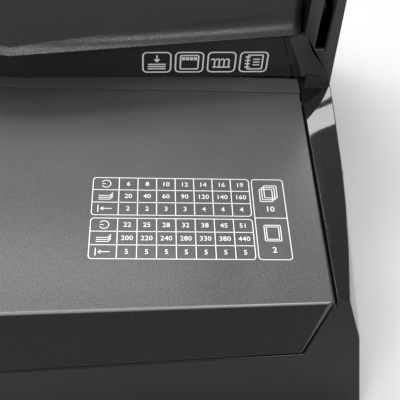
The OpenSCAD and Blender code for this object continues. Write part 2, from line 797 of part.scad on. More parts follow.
module tray_front() color([0.05, 0.05, 0.06]) {
  difference() {
    intersection() {
      base_form(0);
      block([-2 * body_half, 0], [chip_y, chip_y + chip_d], [chip_z, chip_z + chip_h]);
    }
    base_form(wall);
    // Finger recess
    block([-2 * body_half, 0], [pin_y + 5, pin_y + 25], [chip_z + chip_h - 8, table_h]);
  }
  for (y = [chip_y + 4, chip_y + chip_d - 14])
    block([-body_half + wall + 1.5, chip_x[0]], [y, y + 10], [chip_z + 4, chip_z + 24]);
}

// Comb opener

module opener_shaft() color("lightgray")
  rod(-col_out - lever_gap - lever_t, frame_out, [opener_y, opener_z], opener_r);

// Roll angle of an involute at a radius
function involute(r) = let (a = acos(min(1, pinion_r * cos(pressure_a) / r))) tan(a) * 180 / PI - a;

module pinion_outline() {
  root = pinion_r - 1.25 * gear_m;
  tip = pinion_r + 0.85 * gear_m;
  half = 90 / pinion_n - tooth_play / pinion_r * 180 / PI + involute(pinion_r);
  radii = [for (k = [0:4]) mix(pinion_r * cos(pressure_a), tip, k / 4)];
  flank = concat([[root - 0.5, half]], [for (r = radii) [r, half - involute(r)]]);
  difference() {
    union() {
      circle(r = root);
      for (i = [0:pinion_n - 1]) rotate(90 + (i + 0.5) * 360 / pinion_n) polygon(concat(
        [for (p = flank) p[0] * [cos(p[1]), sin(p[1])]],
        [for (k = [len(flank) - 1:-1:0]) flank[k][0] * [cos(flank[k][1]), -sin(flank[k][1])]]));
    }
    circle(r = opener_r + fixed_fit);
  }
}

module pinions() color("goldenrod") both() translate([0, opener_y, opener_z])
  yz(pinion_x - pinion_w / 2, pinion_x + pinion_w / 2) pinion_outline();

// Y-Z profiles laid along the lever's lean
module along_lever(x0, x1)
  translate([0, opener_y, opener_z]) rotate([lever_lean, 0, 0]) yz(x0, x1) children();

module opener_lever() color([0.1, 0.1, 0.11])
  along_lever(-col_out - lever_gap - lever_t, -col_out - lever_gap) difference() {
    union() {
      circle(r = lever_eye);
      translate([-lever_half, 0]) square([2 * lever_half, lever_l]);
      translate([0, lever_l]) circle(r = lever_half);
    }
    circle(r = opener_r + fixed_fit);
  }

module lever_cap() color([0.08, 0.08, 0.08])
  along_lever(-col_out - lever_gap - lever_t - cap_t, -col_out - lever_gap - lever_t) {
    for (end = [lever_l - cap_l, lever_l]) translate([0, end]) circle(r = cap_half);
    translate([-cap_half, lever_l - cap_l]) square([2 * cap_half, cap_l]);
  }

module hook_plate() color("silver")
  block([-hook_row, hook_row], [hook_y0, hook_y1], [rack_top, rack_top + hook_plate_t]);

// Upright hooks on the plate's rear edge, one beside each tine
module comb_hooks() color("silver") for (i = pin_xs) {
  x = [i + hook_shift - hook_w / 2, i + hook_shift + hook_w / 2];
  block(x, [hook_y1 - tine_t, hook_y1], [rack_top + hook_plate_t, hook_top]);
  block(x, [hook_y1 - tine_t, hook_y1 + hook_reach], [hook_top - hook_reach - 1, hook_top]);
}

module rack_outline() {
  pitch_z = opener_z + pinion_r;
  add = 0.87 * gear_m;
  ded = 1.2 * gear_m;
  tip = tooth_pitch / 4 - tooth_play - add * tan(pressure_a);
  root = tooth_pitch / 4 - tooth_play + ded * tan(pressure_a);
  translate([hook_y0 + 0.5, pitch_z + ded - 0.1])
    square([hook_y1 - hook_y0 - 1, rack_top - pitch_z - ded + 0.1]);
  for (j = [-1:4]) translate([opener_y + j * tooth_pitch, pitch_z])
    polygon([[-tip, -add], [tip, -add], [root, ded], [-root, ded]]);
}

module hook_racks() color("silver") both() yz(pinion_x - rack_w / 2, pinion_x + rack_w / 2) rack_outline();

module tine_plate() color("silver") {
  foot = [-hook_row, hook_row];
  block(foot, [tine_y, tine_y + tine_t], [deck_top, deck_top + 4]);
  block(foot, [tine_y, tine_y + 8], [deck_top, deck_top + tine_t]);
  for (x = pin_xs)
    block([x - tine_w / 2, x + tine_w / 2], [tine_y, tine_y + tine_t], [deck_top + 3, deck_top + tine_h]);
}

// Margin stop

module knob_shaft() color("lightgray") rod(stop_x[0], col_out + knob_gap, [knob_y, knob_z], knob_shaft_r);

// Dial with a grip bar across it
module margin_knob() color([0.08, 0.08, 0.08]) {
  x = col_out + knob_gap;
  rod(x, x + knob_t - 4, [knob_y, knob_z], knob_r);
  translate([0, knob_y, knob_z]) yz(x, x + knob_t) square([grip_w, 1.8 * knob_r], center = true);
}

module stop_cam() color("goldenrod") translate([0, knob_y, knob_z]) yz(stop_x[0] + 1, stop_x[1] - 1)
  difference() {
    rise_cam(stop_base, stop_rate, knob_turn, 180);
    circle(r = knob_shaft_r + fixed_fit);
  }

module depth_stop() color("silver") {
  block([-frame_in + 1, frame_in - 1], [stop_y, stop_y + stop_d], stop_z);
  block(stop_x, [stop_y + stop_d - 1, stop_tail_y], stop_z);
  block(stop_x, [stop_tail_y - 3, stop_tail_y], [stop_z[0], knob_z + 5]);
}

module edge_guide() color([0.1, 0.1, 0.11]) {
  block(guide_x, [cover_y1 + 2.2, cover_y1 + 8.7], [table_h + 0.2, table_h + 8]);
  block([guide_x[0] + 1, guide_x[1] - 1], groove_y + [0.2, -0.2], [table_h - 1.7, table_h + 1]);
}

base_casing();
base_plate();
rubber_feet();
base_screws();
comb_tray();
entry_strip();
left_column();
right_column();
fascia();
top_deck();
deck_screws();
rear_panel();
rear_screws();
left_frame();
right_frame();
die_plate();
stripper_plate();
shaft_bushes();
guide_rods();
punch_springs();
tine_plate();
hood_pins();
cover_pins();
drive_shaft();
punch_cams();
left_arm();
right_arm();
handle_bar();
handle_grip();
handle_caps();
punch_bar();
punch_pins();
hood();
front_cover();
chip_tray();
tray_front();
opener_shaft();
pinions();
opener_lever();
lever_cap();
hook_plate();
comb_hooks();
hook_racks();
margin_knob();
knob_shaft();
stop_cam();
depth_stop();
edge_guide();
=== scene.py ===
"""Dresses a manual comb binding machine: rounded mouldings, finishes, printed marks and a studio stage."""
import json
import math

import bmesh
import bpy
from bpy.props import FloatProperty, FloatVectorProperty, IntProperty, PointerProperty
from mathutils import Matrix, Vector


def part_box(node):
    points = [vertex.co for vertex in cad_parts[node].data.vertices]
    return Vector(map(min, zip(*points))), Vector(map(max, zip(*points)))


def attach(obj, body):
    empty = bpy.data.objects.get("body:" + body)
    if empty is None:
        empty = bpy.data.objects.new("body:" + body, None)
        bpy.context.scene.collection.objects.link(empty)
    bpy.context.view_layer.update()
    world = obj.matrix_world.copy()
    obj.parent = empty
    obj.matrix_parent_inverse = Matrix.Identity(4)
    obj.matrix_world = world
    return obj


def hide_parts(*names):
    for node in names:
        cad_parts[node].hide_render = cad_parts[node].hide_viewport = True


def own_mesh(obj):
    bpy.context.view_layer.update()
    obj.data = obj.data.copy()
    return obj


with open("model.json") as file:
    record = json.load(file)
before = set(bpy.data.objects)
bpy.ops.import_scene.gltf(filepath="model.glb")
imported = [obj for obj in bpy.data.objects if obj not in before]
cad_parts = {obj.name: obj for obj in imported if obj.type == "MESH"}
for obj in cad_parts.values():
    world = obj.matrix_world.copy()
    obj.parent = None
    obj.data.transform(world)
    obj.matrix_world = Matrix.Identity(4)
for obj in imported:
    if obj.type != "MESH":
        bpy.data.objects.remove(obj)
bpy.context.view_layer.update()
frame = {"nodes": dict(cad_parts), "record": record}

MM = 0.001
# Points nearer than this are one point
WELD = 0.002 * MM
# CAD seams narrower than this are closed before edges are rounded
SEAM = 0.15 * MM
# Edges whose faces turn by more degrees than this are rounded
TURN = 30
RIGHT, BACK, UP = Vector((1, 0, 0)), Vector((0, 1, 0)), Vector((0, 0, 1))

bl_info = {
    "name": "Comb binding machine",
    "version": (1, 0, 0),
    "blender": (4, 5, 0),
    "location": "3D View > Sidebar > Binder",
    "description": "Dresses the packed binding machine with mouldings, finishes and printed marks",
    "category": "Object",
}


# Settings

def colour(name, description, default):
    return FloatVectorProperty(name=name, description=description, default=default, min=0, max=1,
                               subtype="COLOR")


def length(name, description, default):
    return FloatProperty(name=name, description=description, default=default, min=0, subtype="DISTANCE",
                         unit="LENGTH")


def amount(name, description, default):
    return FloatProperty(name=name, description=description, default=default, min=0)


def angle(name, description, degrees):
    return FloatProperty(name=name, description=description, default=math.radians(degrees), subtype="ANGLE",
                         unit="ROTATION")


class BinderFinishes(bpy.types.PropertyGroup):
    """Colours of the finishes and the size of the moulded grain."""
    table: colour("Table cover", "Dark grey of the spark-textured table cover", (0.053, 0.053, 0.054))
    # Painted shade: the apron is the same moulding as the table, given a darker black
    apron: colour("Apron", "Black painted on the cover's apron as shade, darker than the table's grey", (0.008, 0.008, 0.0083))
    # Painted highlight: a light grey on the cover's rounded front edge, in place of a lamp's reflection along
    # it
    rubbed: colour("Edge highlight", "Grey painted on the cover's front edge as a highlight", (0.22, 0.22, 0.22))
    hood: colour("Hood", "Black of the textured hood", (0.0115, 0.0111, 0.0123))
    gloss: colour("Gloss black", "Black of the glossy base", (0.007, 0.007, 0.0075))
    satin: colour("Satin black", "Black of the columns and controls", (0.014, 0.014, 0.0148))
    fascia: colour("Fascia", "Black of the smooth fascia", (0.012, 0.012, 0.0126))
    strip: colour("Entry strip", "Grey of the strip before the slot", (0.062, 0.062, 0.063))
    # Painted light: the gussets are part of the columns, given a lighter grey than their satin black
    gusset: colour("Gussets", "Grey painted on the smooth gussets beside the slot as light", (0.044, 0.044, 0.0455))
    tray: colour("Trays", "Black of trays and deck", (0.018, 0.018, 0.019))
    steel: colour("Steel", "Bare and zinc-plated steel", (0.52, 0.52, 0.53))
    plated: colour("Plated steel", "Bright plated arms and bar", (0.62, 0.62, 0.63))
    bronze: colour("Bronze", "Sintered bronze", (0.45, 0.31, 0.15))
    nylon: colour("Nylon", "Natural nylon of the cam", (0.72, 0.7, 0.63))
    rubber: colour("Rubber", "Black rubber of feet and grip", (0.016, 0.016, 0.016))
    ink: colour("Ink", "White of the printed marks", (0.74, 0.74, 0.75))
    grain: length("Grain", "Size of the moulded spark texture", 0.5 * MM)


class BinderMouldings(bpy.types.PropertyGroup):
    """Radii that round the moulded and pressed edges."""
    casing: length("Casing", "Edge radius of the glossy base", 0.65 * MM)
    shoulder: length("Shoulder", "Drop of the side strips' outer edges", 2.6 * MM)
    twist: length("Twist", "Stretch before the columns over which the strips turn down", 46 * MM)
    cover: length("Table cover", "Radius of the cover's front edge", 1.5 * MM)
    facet: length("Cover facet", "Width of the cover's side facet at the front", 2.6 * MM)
    column: length("Columns", "Edge radius of the columns", 1.2 * MM)
    panel: length("Panels", "Edge radius of panels and trays", 0.7 * MM)
    sheet: length("Sheet metal", "Edge radius of steel plates", 0.3 * MM)
    segments: IntProperty(name="Segments", description="Steps of a rounded edge", default=3, min=1, max=8)


class BinderHood(bpy.types.PropertyGroup):
    """Form of the hood's shell."""
    prow: angle("Prow", "Angle of the lip's two halves to the slot", 8.87)
    lean: angle("Lean", "Backward lean of the face", 20)
    skirt: length("Skirt", "Height of the skirt below the end walls", 20 * MM)
    brow_drop: length("Brow drop", "Height of the brow below the top", 13 * MM)
    crown_run: length("Crown run", "Run of the slope from the brow to the top", 22 * MM)
    rear_drop: length("Rear drop", "Height of the rear edge below the top", 18 * MM)
    wall: length("Wall", "Wall of the shell", 2.5 * MM)
    roll: length("Roll", "Radius of the rolled ends", 7 * MM)
    brow: length("Brow", "Radius of the front brow", 9 * MM)
    crown: length("Crown", "Radius between the slope and the top", 22 * MM)
    rear: length("Rear", "Radius of the rear edge", 5 * MM)


class BinderControls(bpy.types.PropertyGroup):
    """Grooves, ribs and flutes of the grip and the controls."""
    groove_pitch: length("Groove pitch", "Spacing of the grip's grooves", 6.5 * MM)
    groove: length("Groove", "Depth of the grip's grooves", 0.7 * MM)
    rib: length("Rib", "Height of a finger rib", 0.7 * MM)
    rib_pitch: length("Rib pitch", "Spacing of the finger ribs", 2.8 * MM)
    flutes: IntProperty(name="Flutes", description="Ribs round the knob's rim", default=28, min=3, max=90)


class BinderPrint(bpy.types.PropertyGroup):
    """Sizes of the printed chart and pictograms."""
    line: length("Line", "Width of a printed line", 0.42 * MM)
    bold: length("Bold line", "Width of a pictogram's line", 0.85 * MM)
    depth: length("Ink", "Thickness of the ink", 0.04 * MM)
    chart_width: length("Chart width", "Width of the chart on the table", 96 * MM)
    chart_depth: length("Chart depth", "Depth of the chart on the table", 50 * MM)
    panel: length("Symbol panel", "Width of the chart's symbol panel", 16 * MM)
    figures: length("Figures", "Size of the chart's figures", 3.9 * MM)
    icon: length("Pictogram", "Width of a pictogram's frame", 15.5 * MM)
    pitch: length("Pictogram pitch", "Spacing of the pictograms", 18.2 * MM)


class BinderStage(bpy.types.PropertyGroup):
    """Camera, lamps and floor."""
    eye: FloatVectorProperty(
        name="Camera place", description="Where the camera stands", subtype="TRANSLATION", unit="LENGTH",
        default=(71.15 * MM, -306.37 * MM, 374 * MM))
    turn: FloatVectorProperty(
        name="Camera turn", description="Camera's rotation", subtype="EULER", unit="ROTATION",
        default=(math.radians(39.753), math.radians(-3.479), math.radians(-2.026)))
    lens: amount("Lens", "Focal length in millimetres", 68.27)
    softbox: amount("Softbox", "Power of the large rear softbox in watts", 21)
    side: amount("Side softbox", "Power of the left softbox in watts", 6)
    key: amount("Key", "Power of the overhead lamp in watts", 6)
    fill: amount("Fill", "Power of each front fill lamp in watts", 7)
    window: amount("Windows", "Power of the small bright panels in watts a square metre", 60)
    sky: amount("Sky", "Strength of the even light", 0.1)
    backdrop: amount("Backdrop", "Brightness of the seen background", 0.75)
    floor: colour("Floor", "Pale floor", (0.6, 0.6, 0.6))
    reach: length("Reach", "Radius over which the floor fades into the backdrop", 1.4)
    bounce: amount("Bounce", "Share of the floor's colour that lights the object", 0.15)


# Finishes

class Value:
    """A socket of a tree of nodes; arithmetic on it adds Math nodes."""

    def __init__(self, shading, socket):
        self.shading = shading
        self.socket = socket

    def math(self, operation, first, second):
        return self.shading.node("ShaderNodeMath", {"operation": operation}, {0: first, 1: second})

    def __add__(self, other):
        return self.math("ADD", self, other)

    def __sub__(self, other):
        return self.math("SUBTRACT", self, other)

    def __rsub__(self, other):
        return self.math("SUBTRACT", other, self)

    def __mul__(self, other):
        return self.math("MULTIPLY", self, other)

    def __pow__(self, other):
        return self.math("POWER", self, other)

    __radd__ = __add__


class Shading:
    """The nodes of a material or of the world, which end in one shader."""

    def __init__(self, tree, shader):
        self.tree = tree
        self.shader = tree.nodes[shader]

    def feed(self, node, inputs):
        """Gives a node's sockets their values or links."""
        for key, value in inputs.items():
            if isinstance(value, Value):
                self.tree.links.new(value.socket, node.inputs[key])
            else:
                node.inputs[key].default_value = value

    def node(self, kind, settings=None, inputs=None, out=0):
        """Adds a node: its settings first, then its sockets."""
        made = self.tree.nodes.new(kind)
        for key, value in (settings or {}).items():
            setattr(made, key, value)
        self.feed(made, inputs or {})
        return Value(self, made.outputs[out])

    def set(self, inputs):
        self.feed(self.shader, inputs)

    def seen(self):
        """1 on rays that show a surface, straight or mirrored, and 0 on those by which it lights others."""
        straight, mirrored, through = (self.node("ShaderNodeLightPath", out=kind) for kind in
                                       ("Is Camera Ray", "Is Glossy Ray", "Is Transmission Ray"))
        return straight.math("MAXIMUM", straight.math("MAXIMUM", straight, mirrored), through)


class Finish(Shading):
    """A procedural material on Object coordinates."""

    def __init__(self, name):
        self.name = name
        self.material = bpy.data.materials.new(name)
        self.material.use_nodes = True
        super().__init__(self.material.node_tree, "Principled BSDF")
        self.place = self.node("ShaderNodeTexCoord", out="Object")

    def noise(self, size, detail=2.0, stretch=(1, 1, 1)):
        """Noise between 0 and 1 with grains of about a size, drawn out along an axis."""
        place = self.node("ShaderNodeMapping", None, {"Vector": self.place, "Scale": stretch})
        return self.node("ShaderNodeTexNoise", None,
                         {"Vector": place, "Scale": 1 / size, "Detail": detail, "Roughness": 0.55})

    def blend(self, factor, first, second):
        """A colour between two, by a factor."""
        return self.node("ShaderNodeMix", {"data_type": "RGBA"},
                         {"Factor": factor, 6: (*first, 1), 7: (*second, 1)}, out=2)

    def relief(self, height, depth, strength):
        bump = self.node("ShaderNodeBump", None, {"Height": height, "Distance": depth, "Strength": strength})
        self.set({"Normal": bump})


def scaled(shade, factor):
    return tuple(min(1, part * factor) for part in shade)


def spark_textured(name, shade, grain, rough, glint, ior=1.36, steep=0.08):
    """Moulding with a fine spark texture: grains that glint, and a cloudy sheen."""
    made = Finish(name)
    grains = made.noise(grain, 1.0)
    cloud = made.noise(40 * MM, 3.0)
    # Salt sets light and dark grains apart; sparks are the few smooth ones among them
    salt = (grains - 0.5) * 5 + 0.5
    sparks = grains ** 4 * 8
    made.set({"Base Color": made.blend(salt * 0.75 + cloud * 0.25, scaled(shade, 0.35), scaled(shade, 1.65)),
              "Roughness": rough - (sparks - 0.5) * glint + (cloud - 0.5) * 0.12, "IOR": ior})
    made.relief(grains, steep * grain, 0.8)
    return made


def glossy(name, shade, rough, ripple):
    """Polished moulding: almost a mirror, with the faint waviness and handling haze of a real one."""
    made = Finish(name)
    haze = made.noise(35 * MM, 4.0)
    peel = made.noise(6 * MM, 1.0)
    specks = made.noise(0.9 * MM, 0.0) ** 6
    made.set({"Base Color": made.blend(specks, shade, scaled(shade, 3)),
              "Roughness": rough + haze * 0.04 + specks * 0.1, "IOR": 1.3})
    made.relief(peel, 0.05 * MM, ripple)
    return made


def satin(name, shade, rough):
    """Smooth satin moulding with a trace of flow marks."""
    made = Finish(name)
    flow = made.noise(30 * MM, 3.0, (0.3, 1, 1))
    skin = made.noise(0.35 * MM, 1.0)
    made.set({"Base Color": made.blend(flow * 0.6 + skin * 0.4, scaled(shade, 0.85), scaled(shade, 1.15)),
              "Roughness": rough + (flow - 0.5) * 0.1 + (skin - 0.5) * 0.08, "IOR": 1.5})
    made.relief(skin, 0.015 * MM, 0.25)
    return made


def brushed(name, shade, rough, stretch=(0.02, 1, 1)):
    """Steel with a grain drawn out along one axis and a slight stain."""
    made = Finish(name)
    strokes = made.noise(0.25 * MM, 2.0, stretch)
    stain = made.noise(18 * MM, 3.0)
    made.set({"Base Color": made.blend(strokes * 0.5 + stain * 0.5, scaled(shade, 0.82), scaled(shade, 1.12)),
              "Metallic": 1.0, "Roughness": rough + (strokes - 0.5) * 0.2 + (stain - 0.5) * 0.08})
    made.relief(strokes, 0.01 * MM, 0.2)
    return made


def porous(name, shade, metallic, rough, pore):
    """Sintered, cast or rubber surface with open pores."""
    made = Finish(name)
    pores = made.node("ShaderNodeTexVoronoi", None, {"Vector": made.place, "Scale": 1 / pore})
    cloud = made.noise(12 * MM, 3.0)
    made.set({"Base Color": made.blend(pores * 0.6 + cloud * 0.4, scaled(shade, 0.75), scaled(shade, 1.25)),
              "Metallic": metallic, "Roughness": rough + (cloud - 0.5) * 0.12})
    made.relief(pores, 0.05 * MM, 0.3)
    return made


def printed(name, shade):
    """Screen-printed ink, a little thinner here and there."""
    made = Finish(name)
    thin = made.noise(0.8 * MM, 2.0)
    made.set({"Base Color": made.blend(thin, scaled(shade, 0.86), scaled(shade, 1.08)),
              "Roughness": 0.5 + (thin - 0.5) * 0.15})
    return made


FINISHES = {}


def make_finishes(looks):
    """The finishes of the record's material slots, then those of single faces, and the ink."""
    lengthways, upright = (1, 0.02, 1), (1, 1, 0.02)
    grain, steel = looks.grain, looks.steel
    made = (
        glossy("gloss_black", looks.gloss, rough=0.02, ripple=0.05),
        satin("satin_black", looks.satin, rough=0.2),
        satin("fascia_black", looks.fascia, rough=0.34),
        satin("control_black", looks.satin, rough=0.42),
        spark_textured("cover_grey", looks.table, grain, rough=0.36, glint=0.42, ior=1.42),
        spark_textured("hood_black", looks.hood, grain, rough=0.34, glint=0.25, ior=1.42, steep=0.2),
        spark_textured("strip_grey", looks.strip, grain, rough=0.5, glint=0.06),
        spark_textured("tray_black", looks.tray, 2 * grain, rough=0.5, glint=0.05),
        brushed("zinc_steel", steel, rough=0.36),
        brushed("ground_steel", scaled(steel, 1.15), rough=0.24, stretch=lengthways),
        brushed("black_steel", scaled(steel, 0.06), rough=0.5),
        brushed("plated_steel", looks.plated, rough=0.18, stretch=upright),
        brushed("spring_steel", scaled(steel, 0.9), rough=0.3),
        brushed("screw_steel", scaled(steel, 0.8), rough=0.32, stretch=lengthways),
        porous("bronze", looks.bronze, metallic=1, rough=0.38, pore=0.5 * MM),
        porous("nylon", looks.nylon, metallic=0, rough=0.45, pore=0.8 * MM),
        porous("rubber", looks.rubber, metallic=0, rough=0.72, pore=0.45 * MM),
        # Painted shade on the apron: a darker copy of the cover's finish
        spark_textured("apron_black", looks.apron, grain, rough=0.5, glint=0.1, ior=1.26, steep=0.15),
        spark_textured("cover_facet", looks.table, grain, rough=0.4, glint=0.1),
        # Painted highlight on the cover's front edge: lighter and smoother than the cover
        satin("rubbed_edge", looks.rubbed, rough=0.2),
        # Painted light on the gussets: a lighter copy of the columns' satin
        satin("gusset_grey", looks.gusset, rough=0.3),
        printed("ink", looks.ink),
    )
    FINISHES.update({finish.name: finish.material for finish in made})


# Shapes

def node_copy(name, merge=WELD):
    """A bmesh of a CAD node with its triangles merged into flat faces."""
    flat = math.radians(0.2)
    bm = bmesh.new()
    bm.from_mesh(frame["nodes"][name].data)
    bmesh.ops.remove_doubles(bm, verts=bm.verts, dist=merge)
    bmesh.ops.dissolve_limit(bm, angle_limit=flat, verts=bm.verts, edges=bm.edges)
    for edge in bm.edges:
        edge.smooth = True
    return bm


def only(kind, parts):
    return [part for part in parts if isinstance(part, kind)]


def slice_plane(bm, point, normal, **options):
    """Cuts everything along a plane and returns the cut's edges."""
    everything = bm.verts[:] + bm.edges[:] + bm.faces[:]
    cut = bmesh.ops.bisect_plane(bm, geom=everything, plane_co=point, plane_no=normal, **options)
    return only(bmesh.types.BMEdge, cut["geom_cut"])


def connected(parts, neighbours):
    """Groups of parts that hang together, in the order of the parts."""
    left = dict.fromkeys(parts)
    groups = []
    while left:
        group = [next(iter(left))]
        del left[group[0]]
        for part in group:
            for near in neighbours(part):
                if near in left:
                    del left[near]
                    group.append(near)
        groups.append(group)
    return groups


def bevel(bm, edges, width, segments, clamp=True):
    bmesh.ops.bevel(bm, geom=edges, offset=width, offset_type="OFFSET", affect="EDGES", segments=segments,
                    profile=0.5, clamp_overlap=clamp, material=-1)


def cut_off(bm, inside, outside, *points):
    """Cuts off what lies beyond a plane through three points, towards a point outside, and closes it."""
    normal = (points[1] - points[0]).cross(points[2] - points[0]).normalized()
    if normal.dot(outside - inside) < 0:
        normal.negate()
    bmesh.ops.contextual_create(bm, geom=slice_plane(bm, points[0], normal, dist=WELD, clear_outer=True))
    return normal


def bevel_runs(bm, edges, width, segments):
    """Rounds each connected run of edges by itself, so that a tight one doesn't hold back the others."""
    for run in connected(edges, lambda edge: [near for vert in edge.verts for near in vert.link_edges]):
        bevel(bm, [edge for edge in run if edge.is_valid], width, segments)


def sharp_edges(bm, least=TURN, most=180):
    """Edges whose two faces turn by an angle between two limits, in degrees."""
    low, high = math.radians(least), math.radians(most)
    return [e for e in bm.edges if len(e.link_faces) == 2 and low < e.calc_face_angle(0) <= high]


def edges_between(bm, first, second):
    """Edges between a face whose normal passes one test and a face whose normal passes another."""
    found = []
    for edge in bm.edges:
        if len(edge.link_faces) == 2:
            one, two = (face.normal for face in edge.link_faces)
            if first(one) and second(two) or first(two) and second(one):
                found.append(edge)
    return found


def mesh_of(name, bm):
    """Makes a bmesh a mesh, and frees it."""
    mesh = bpy.data.meshes.new(name)
    bm.to_mesh(mesh)
    bm.free()
    return mesh


def linked(name, data):
    """An object of the scene around a mesh, curve, lamp or camera."""
    made = bpy.data.objects.new(name, data)
    bpy.context.scene.collection.objects.link(made)
    return made


def finish_piece(name, bm, body, slot, nodes=(), ink=False, sharp=40, wall=0, rim=0, extra=()):
    """Makes a bmesh a piece that rides on a body, and hides the CAD nodes that it stands for.

    Extra holds pairs of a finish and a test of the faces that have it instead of the slot's own."""
    for face in bm.faces:
        face.smooth = True
        face.material_index = next((i + 1 for i, (_, holds) in enumerate(extra) if holds(face)), 0)
    for edge in sharp_edges(bm, sharp):
        edge.smooth = False
    piece = linked(name, mesh_of(name, bm))
    if wall:
        shell = piece.modifiers.new("Wall", "SOLIDIFY")
        shell.thickness = wall
        shell.offset = -1
        shell.use_even_offset = True
    if rim:
        soft = piece.modifiers.new("Rim", "BEVEL")
        soft.width = rim
        soft.segments = 2
        soft.limit_method = "ANGLE"
        soft.angle_limit = math.radians(60)
    even = piece.modifiers.new("Even shading", "WEIGHTED_NORMAL")
    even.keep_sharp = True
    for finish in ("ink" if ink else slot, *(finish for finish, _ in extra)):
        piece.data.materials.append(FINISHES[finish])
    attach(piece, body)
    if nodes:
        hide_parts(*nodes)
    return piece


def body_of(node):
    return next(body for body, nodes in frame["record"]["behaviour"]["bodies"].items() if node in nodes)


def slot_of(node):
    return next(part["material_slot"] for part in frame["record"]["subparts"] if part["node"] == node)


def rounded_node(node, width, segments=3, merge=WELD, crease=TURN, extra=()):
    """A CAD node's form with rounded edges, in place of the node; shallow creases stay crisp."""
    bm = node_copy(node, merge)
    for edge in sharp_edges(bm, crease, TURN):
        edge.smooth = False
    bevel_runs(bm, [edge for edge in sharp_edges(bm) if edge.is_convex], width, segments)
    return finish_piece(node + "_moulding", bm, body_of(node), slot_of(node), [node], extra=extra)


def spun(profile, axis, centre, steps=48):
    """Solid of revolution: a profile of (along, radius) turned about an axis through a point."""
    bm = bmesh.new()
    side = axis.orthogonal().normalized()
    verts = [bm.verts.new(centre + axis * along + side * radius) for along, radius in profile]
    edges = [bm.edges.new(pair) for pair in zip(verts, verts[1:])]
    bmesh.ops.spin(bm, geom=verts + edges, cent=centre, axis=axis, angle=2 * math.pi, steps=steps,
                   use_merge=True)
    bmesh.ops.remove_doubles(bm, verts=bm.verts, dist=WELD)
    bmesh.ops.recalc_face_normals(bm, faces=bm.faces)
    return bm


def draped(columns, rows, place):
    """A sheet of quads whose points are placed by column and row."""
    bm = bmesh.new()
    bmesh.ops.create_grid(bm, x_segments=columns, y_segments=rows, size=1)
    for vert in bm.verts:
        vert.co = place(round((vert.co.x + 1) / 2 * columns), round((vert.co.y + 1) / 2 * rows))
    return bm


def bar(bm, size, place, radius):
    """Adds a box of a size with rounded edges, centred and turned by a matrix."""
    made = bmesh.ops.create_cube(bm, size=1, matrix=place @ Matrix.Diagonal((*size, 1)))
    bevel(bm, list({edge for vert in made["verts"] for edge in vert.link_edges}), radius, 2)


def islands(node):
    """Boxes of a CAD node's separate solids, as pairs of corners."""
    bm = node_copy(node)
    solids = connected(bm.verts, lambda vert: [edge.other_vert(vert) for edge in vert.link_edges])
    boxes = [tuple(Vector(map(pick, zip(*(v.co for v in solid)))) for pick in (min, max)) for solid in solids]
    bm.free()
    return boxes


def join_into(target, bm):
    """Adds one bmesh to another and frees it."""
    mesh = mesh_of("joined", bm)
    target.from_mesh(mesh)
    bpy.data.meshes.remove(mesh)


def rounded_corner(before, corner, after, radius, steps=5):
    """Points of a rounded corner between two straight stretches of a Y-Z profile."""
    back, ahead = before - corner, after - corner
    reach = radius / math.tan(back.angle(ahead) / 2)
    start = corner + back.normalized() * reach
    end = corner + ahead.normalized() * reach
    shares = [i / steps for i in range(steps + 1)]
    return [start * (1 - t) ** 2 + corner * 2 * t * (1 - t) + end * t ** 2 for t in shares]


# Printed marks

class Print:
    """Lines and figures drawn flat in millimetres, then laid on a surface."""

    def __init__(self, width, depth):
        self.bm = bmesh.new()
        self.width = width / MM
        self.depth = depth / MM

    def keep(self, kind, fill):
        """Makes a curve, has it filled in, and keeps its mesh."""
        curve = bpy.data.curves.new("mark", kind)
        fill(curve)
        mark = linked("mark", curve)
        bpy.context.view_layer.update()
        mesh = mark.to_mesh()
        if kind == "CURVE":
            mesh.transform(Matrix.Diagonal((1, 1, self.depth / self.width, 1)))
        self.bm.from_mesh(mesh)
        mark.to_mesh_clear()
        bpy.data.objects.remove(mark)
        bpy.data.curves.remove(curve)

    def line(self, *points, closed=False):
        def fill(curve):
            curve.dimensions = "3D"
            curve.bevel_depth = self.width / 2
            curve.bevel_resolution = 0
            curve.use_fill_caps = True
            spline = curve.splines.new("POLY")
            spline.points.add(len(points) - 1)
            for target, (x, y) in zip(spline.points, points):
                target.co = (x, y, 0, 1)
            spline.use_cyclic_u = closed
        self.keep("CURVE", fill)

    def arc(self, x, y, radius, start, end, steps=24):
        turn = [math.radians(start + (end - start) * i / steps) for i in range(steps + 1)]
        self.line(*((x + radius * math.cos(a), y + radius * math.sin(a)) for a in turn))

    def box(self, x0, y0, x1, y1, radius):
        """Outline of a box with rounded corners."""
        corners = [(x1 - radius, y1 - radius, 0), (x0 + radius, y1 - radius, 90),
                   (x0 + radius, y0 + radius, 180), (x1 - radius, y0 + radius, 270)]
        turns = [(x, y, math.radians(start + 90 * i / 4)) for x, y, start in corners for i in range(5)]
        self.line(*((x + radius * math.cos(a), y + radius * math.sin(a)) for x, y, a in turns), closed=True)

    def arrow(self, x0, y0, x1, y1, head):
        """A line with a head at its second end."""
        self.line((x0, y0), (x1, y1))
        back = Vector((x0 - x1, y0 - y1)).normalized() * head
        spread = back.orthogonal() * 0.7
        for barb in (back + spread, back - spread):
            self.line((x1 + barb.x, y1 + barb.y), (x1, y1))

    def figures(self, text, x, y, size):
        def fill(curve):
            curve.body = text
            curve.size = size
            curve.align_x = "CENTER"
            curve.align_y = "CENTER"
            curve.resolution_u = 2
            curve.extrude = self.depth / 2
            # A little bolder than the font
            curve.offset = 0.004 * size
        before = len(self.bm.verts)
        self.keep("FONT", fill)
        self.bm.verts.ensure_lookup_table()
        bmesh.ops.translate(self.bm, verts=self.bm.verts[before:], vec=(x, y, 0))

    def lay(self, name, body, slot, place):
        """Puts the print on a surface: place takes its plane to the machine."""
        bmesh.ops.transform(self.bm, matrix=place @ Matrix.Scale(MM, 4), verts=self.bm.verts)
        return finish_piece(name, self.bm, body, slot, ink=True)


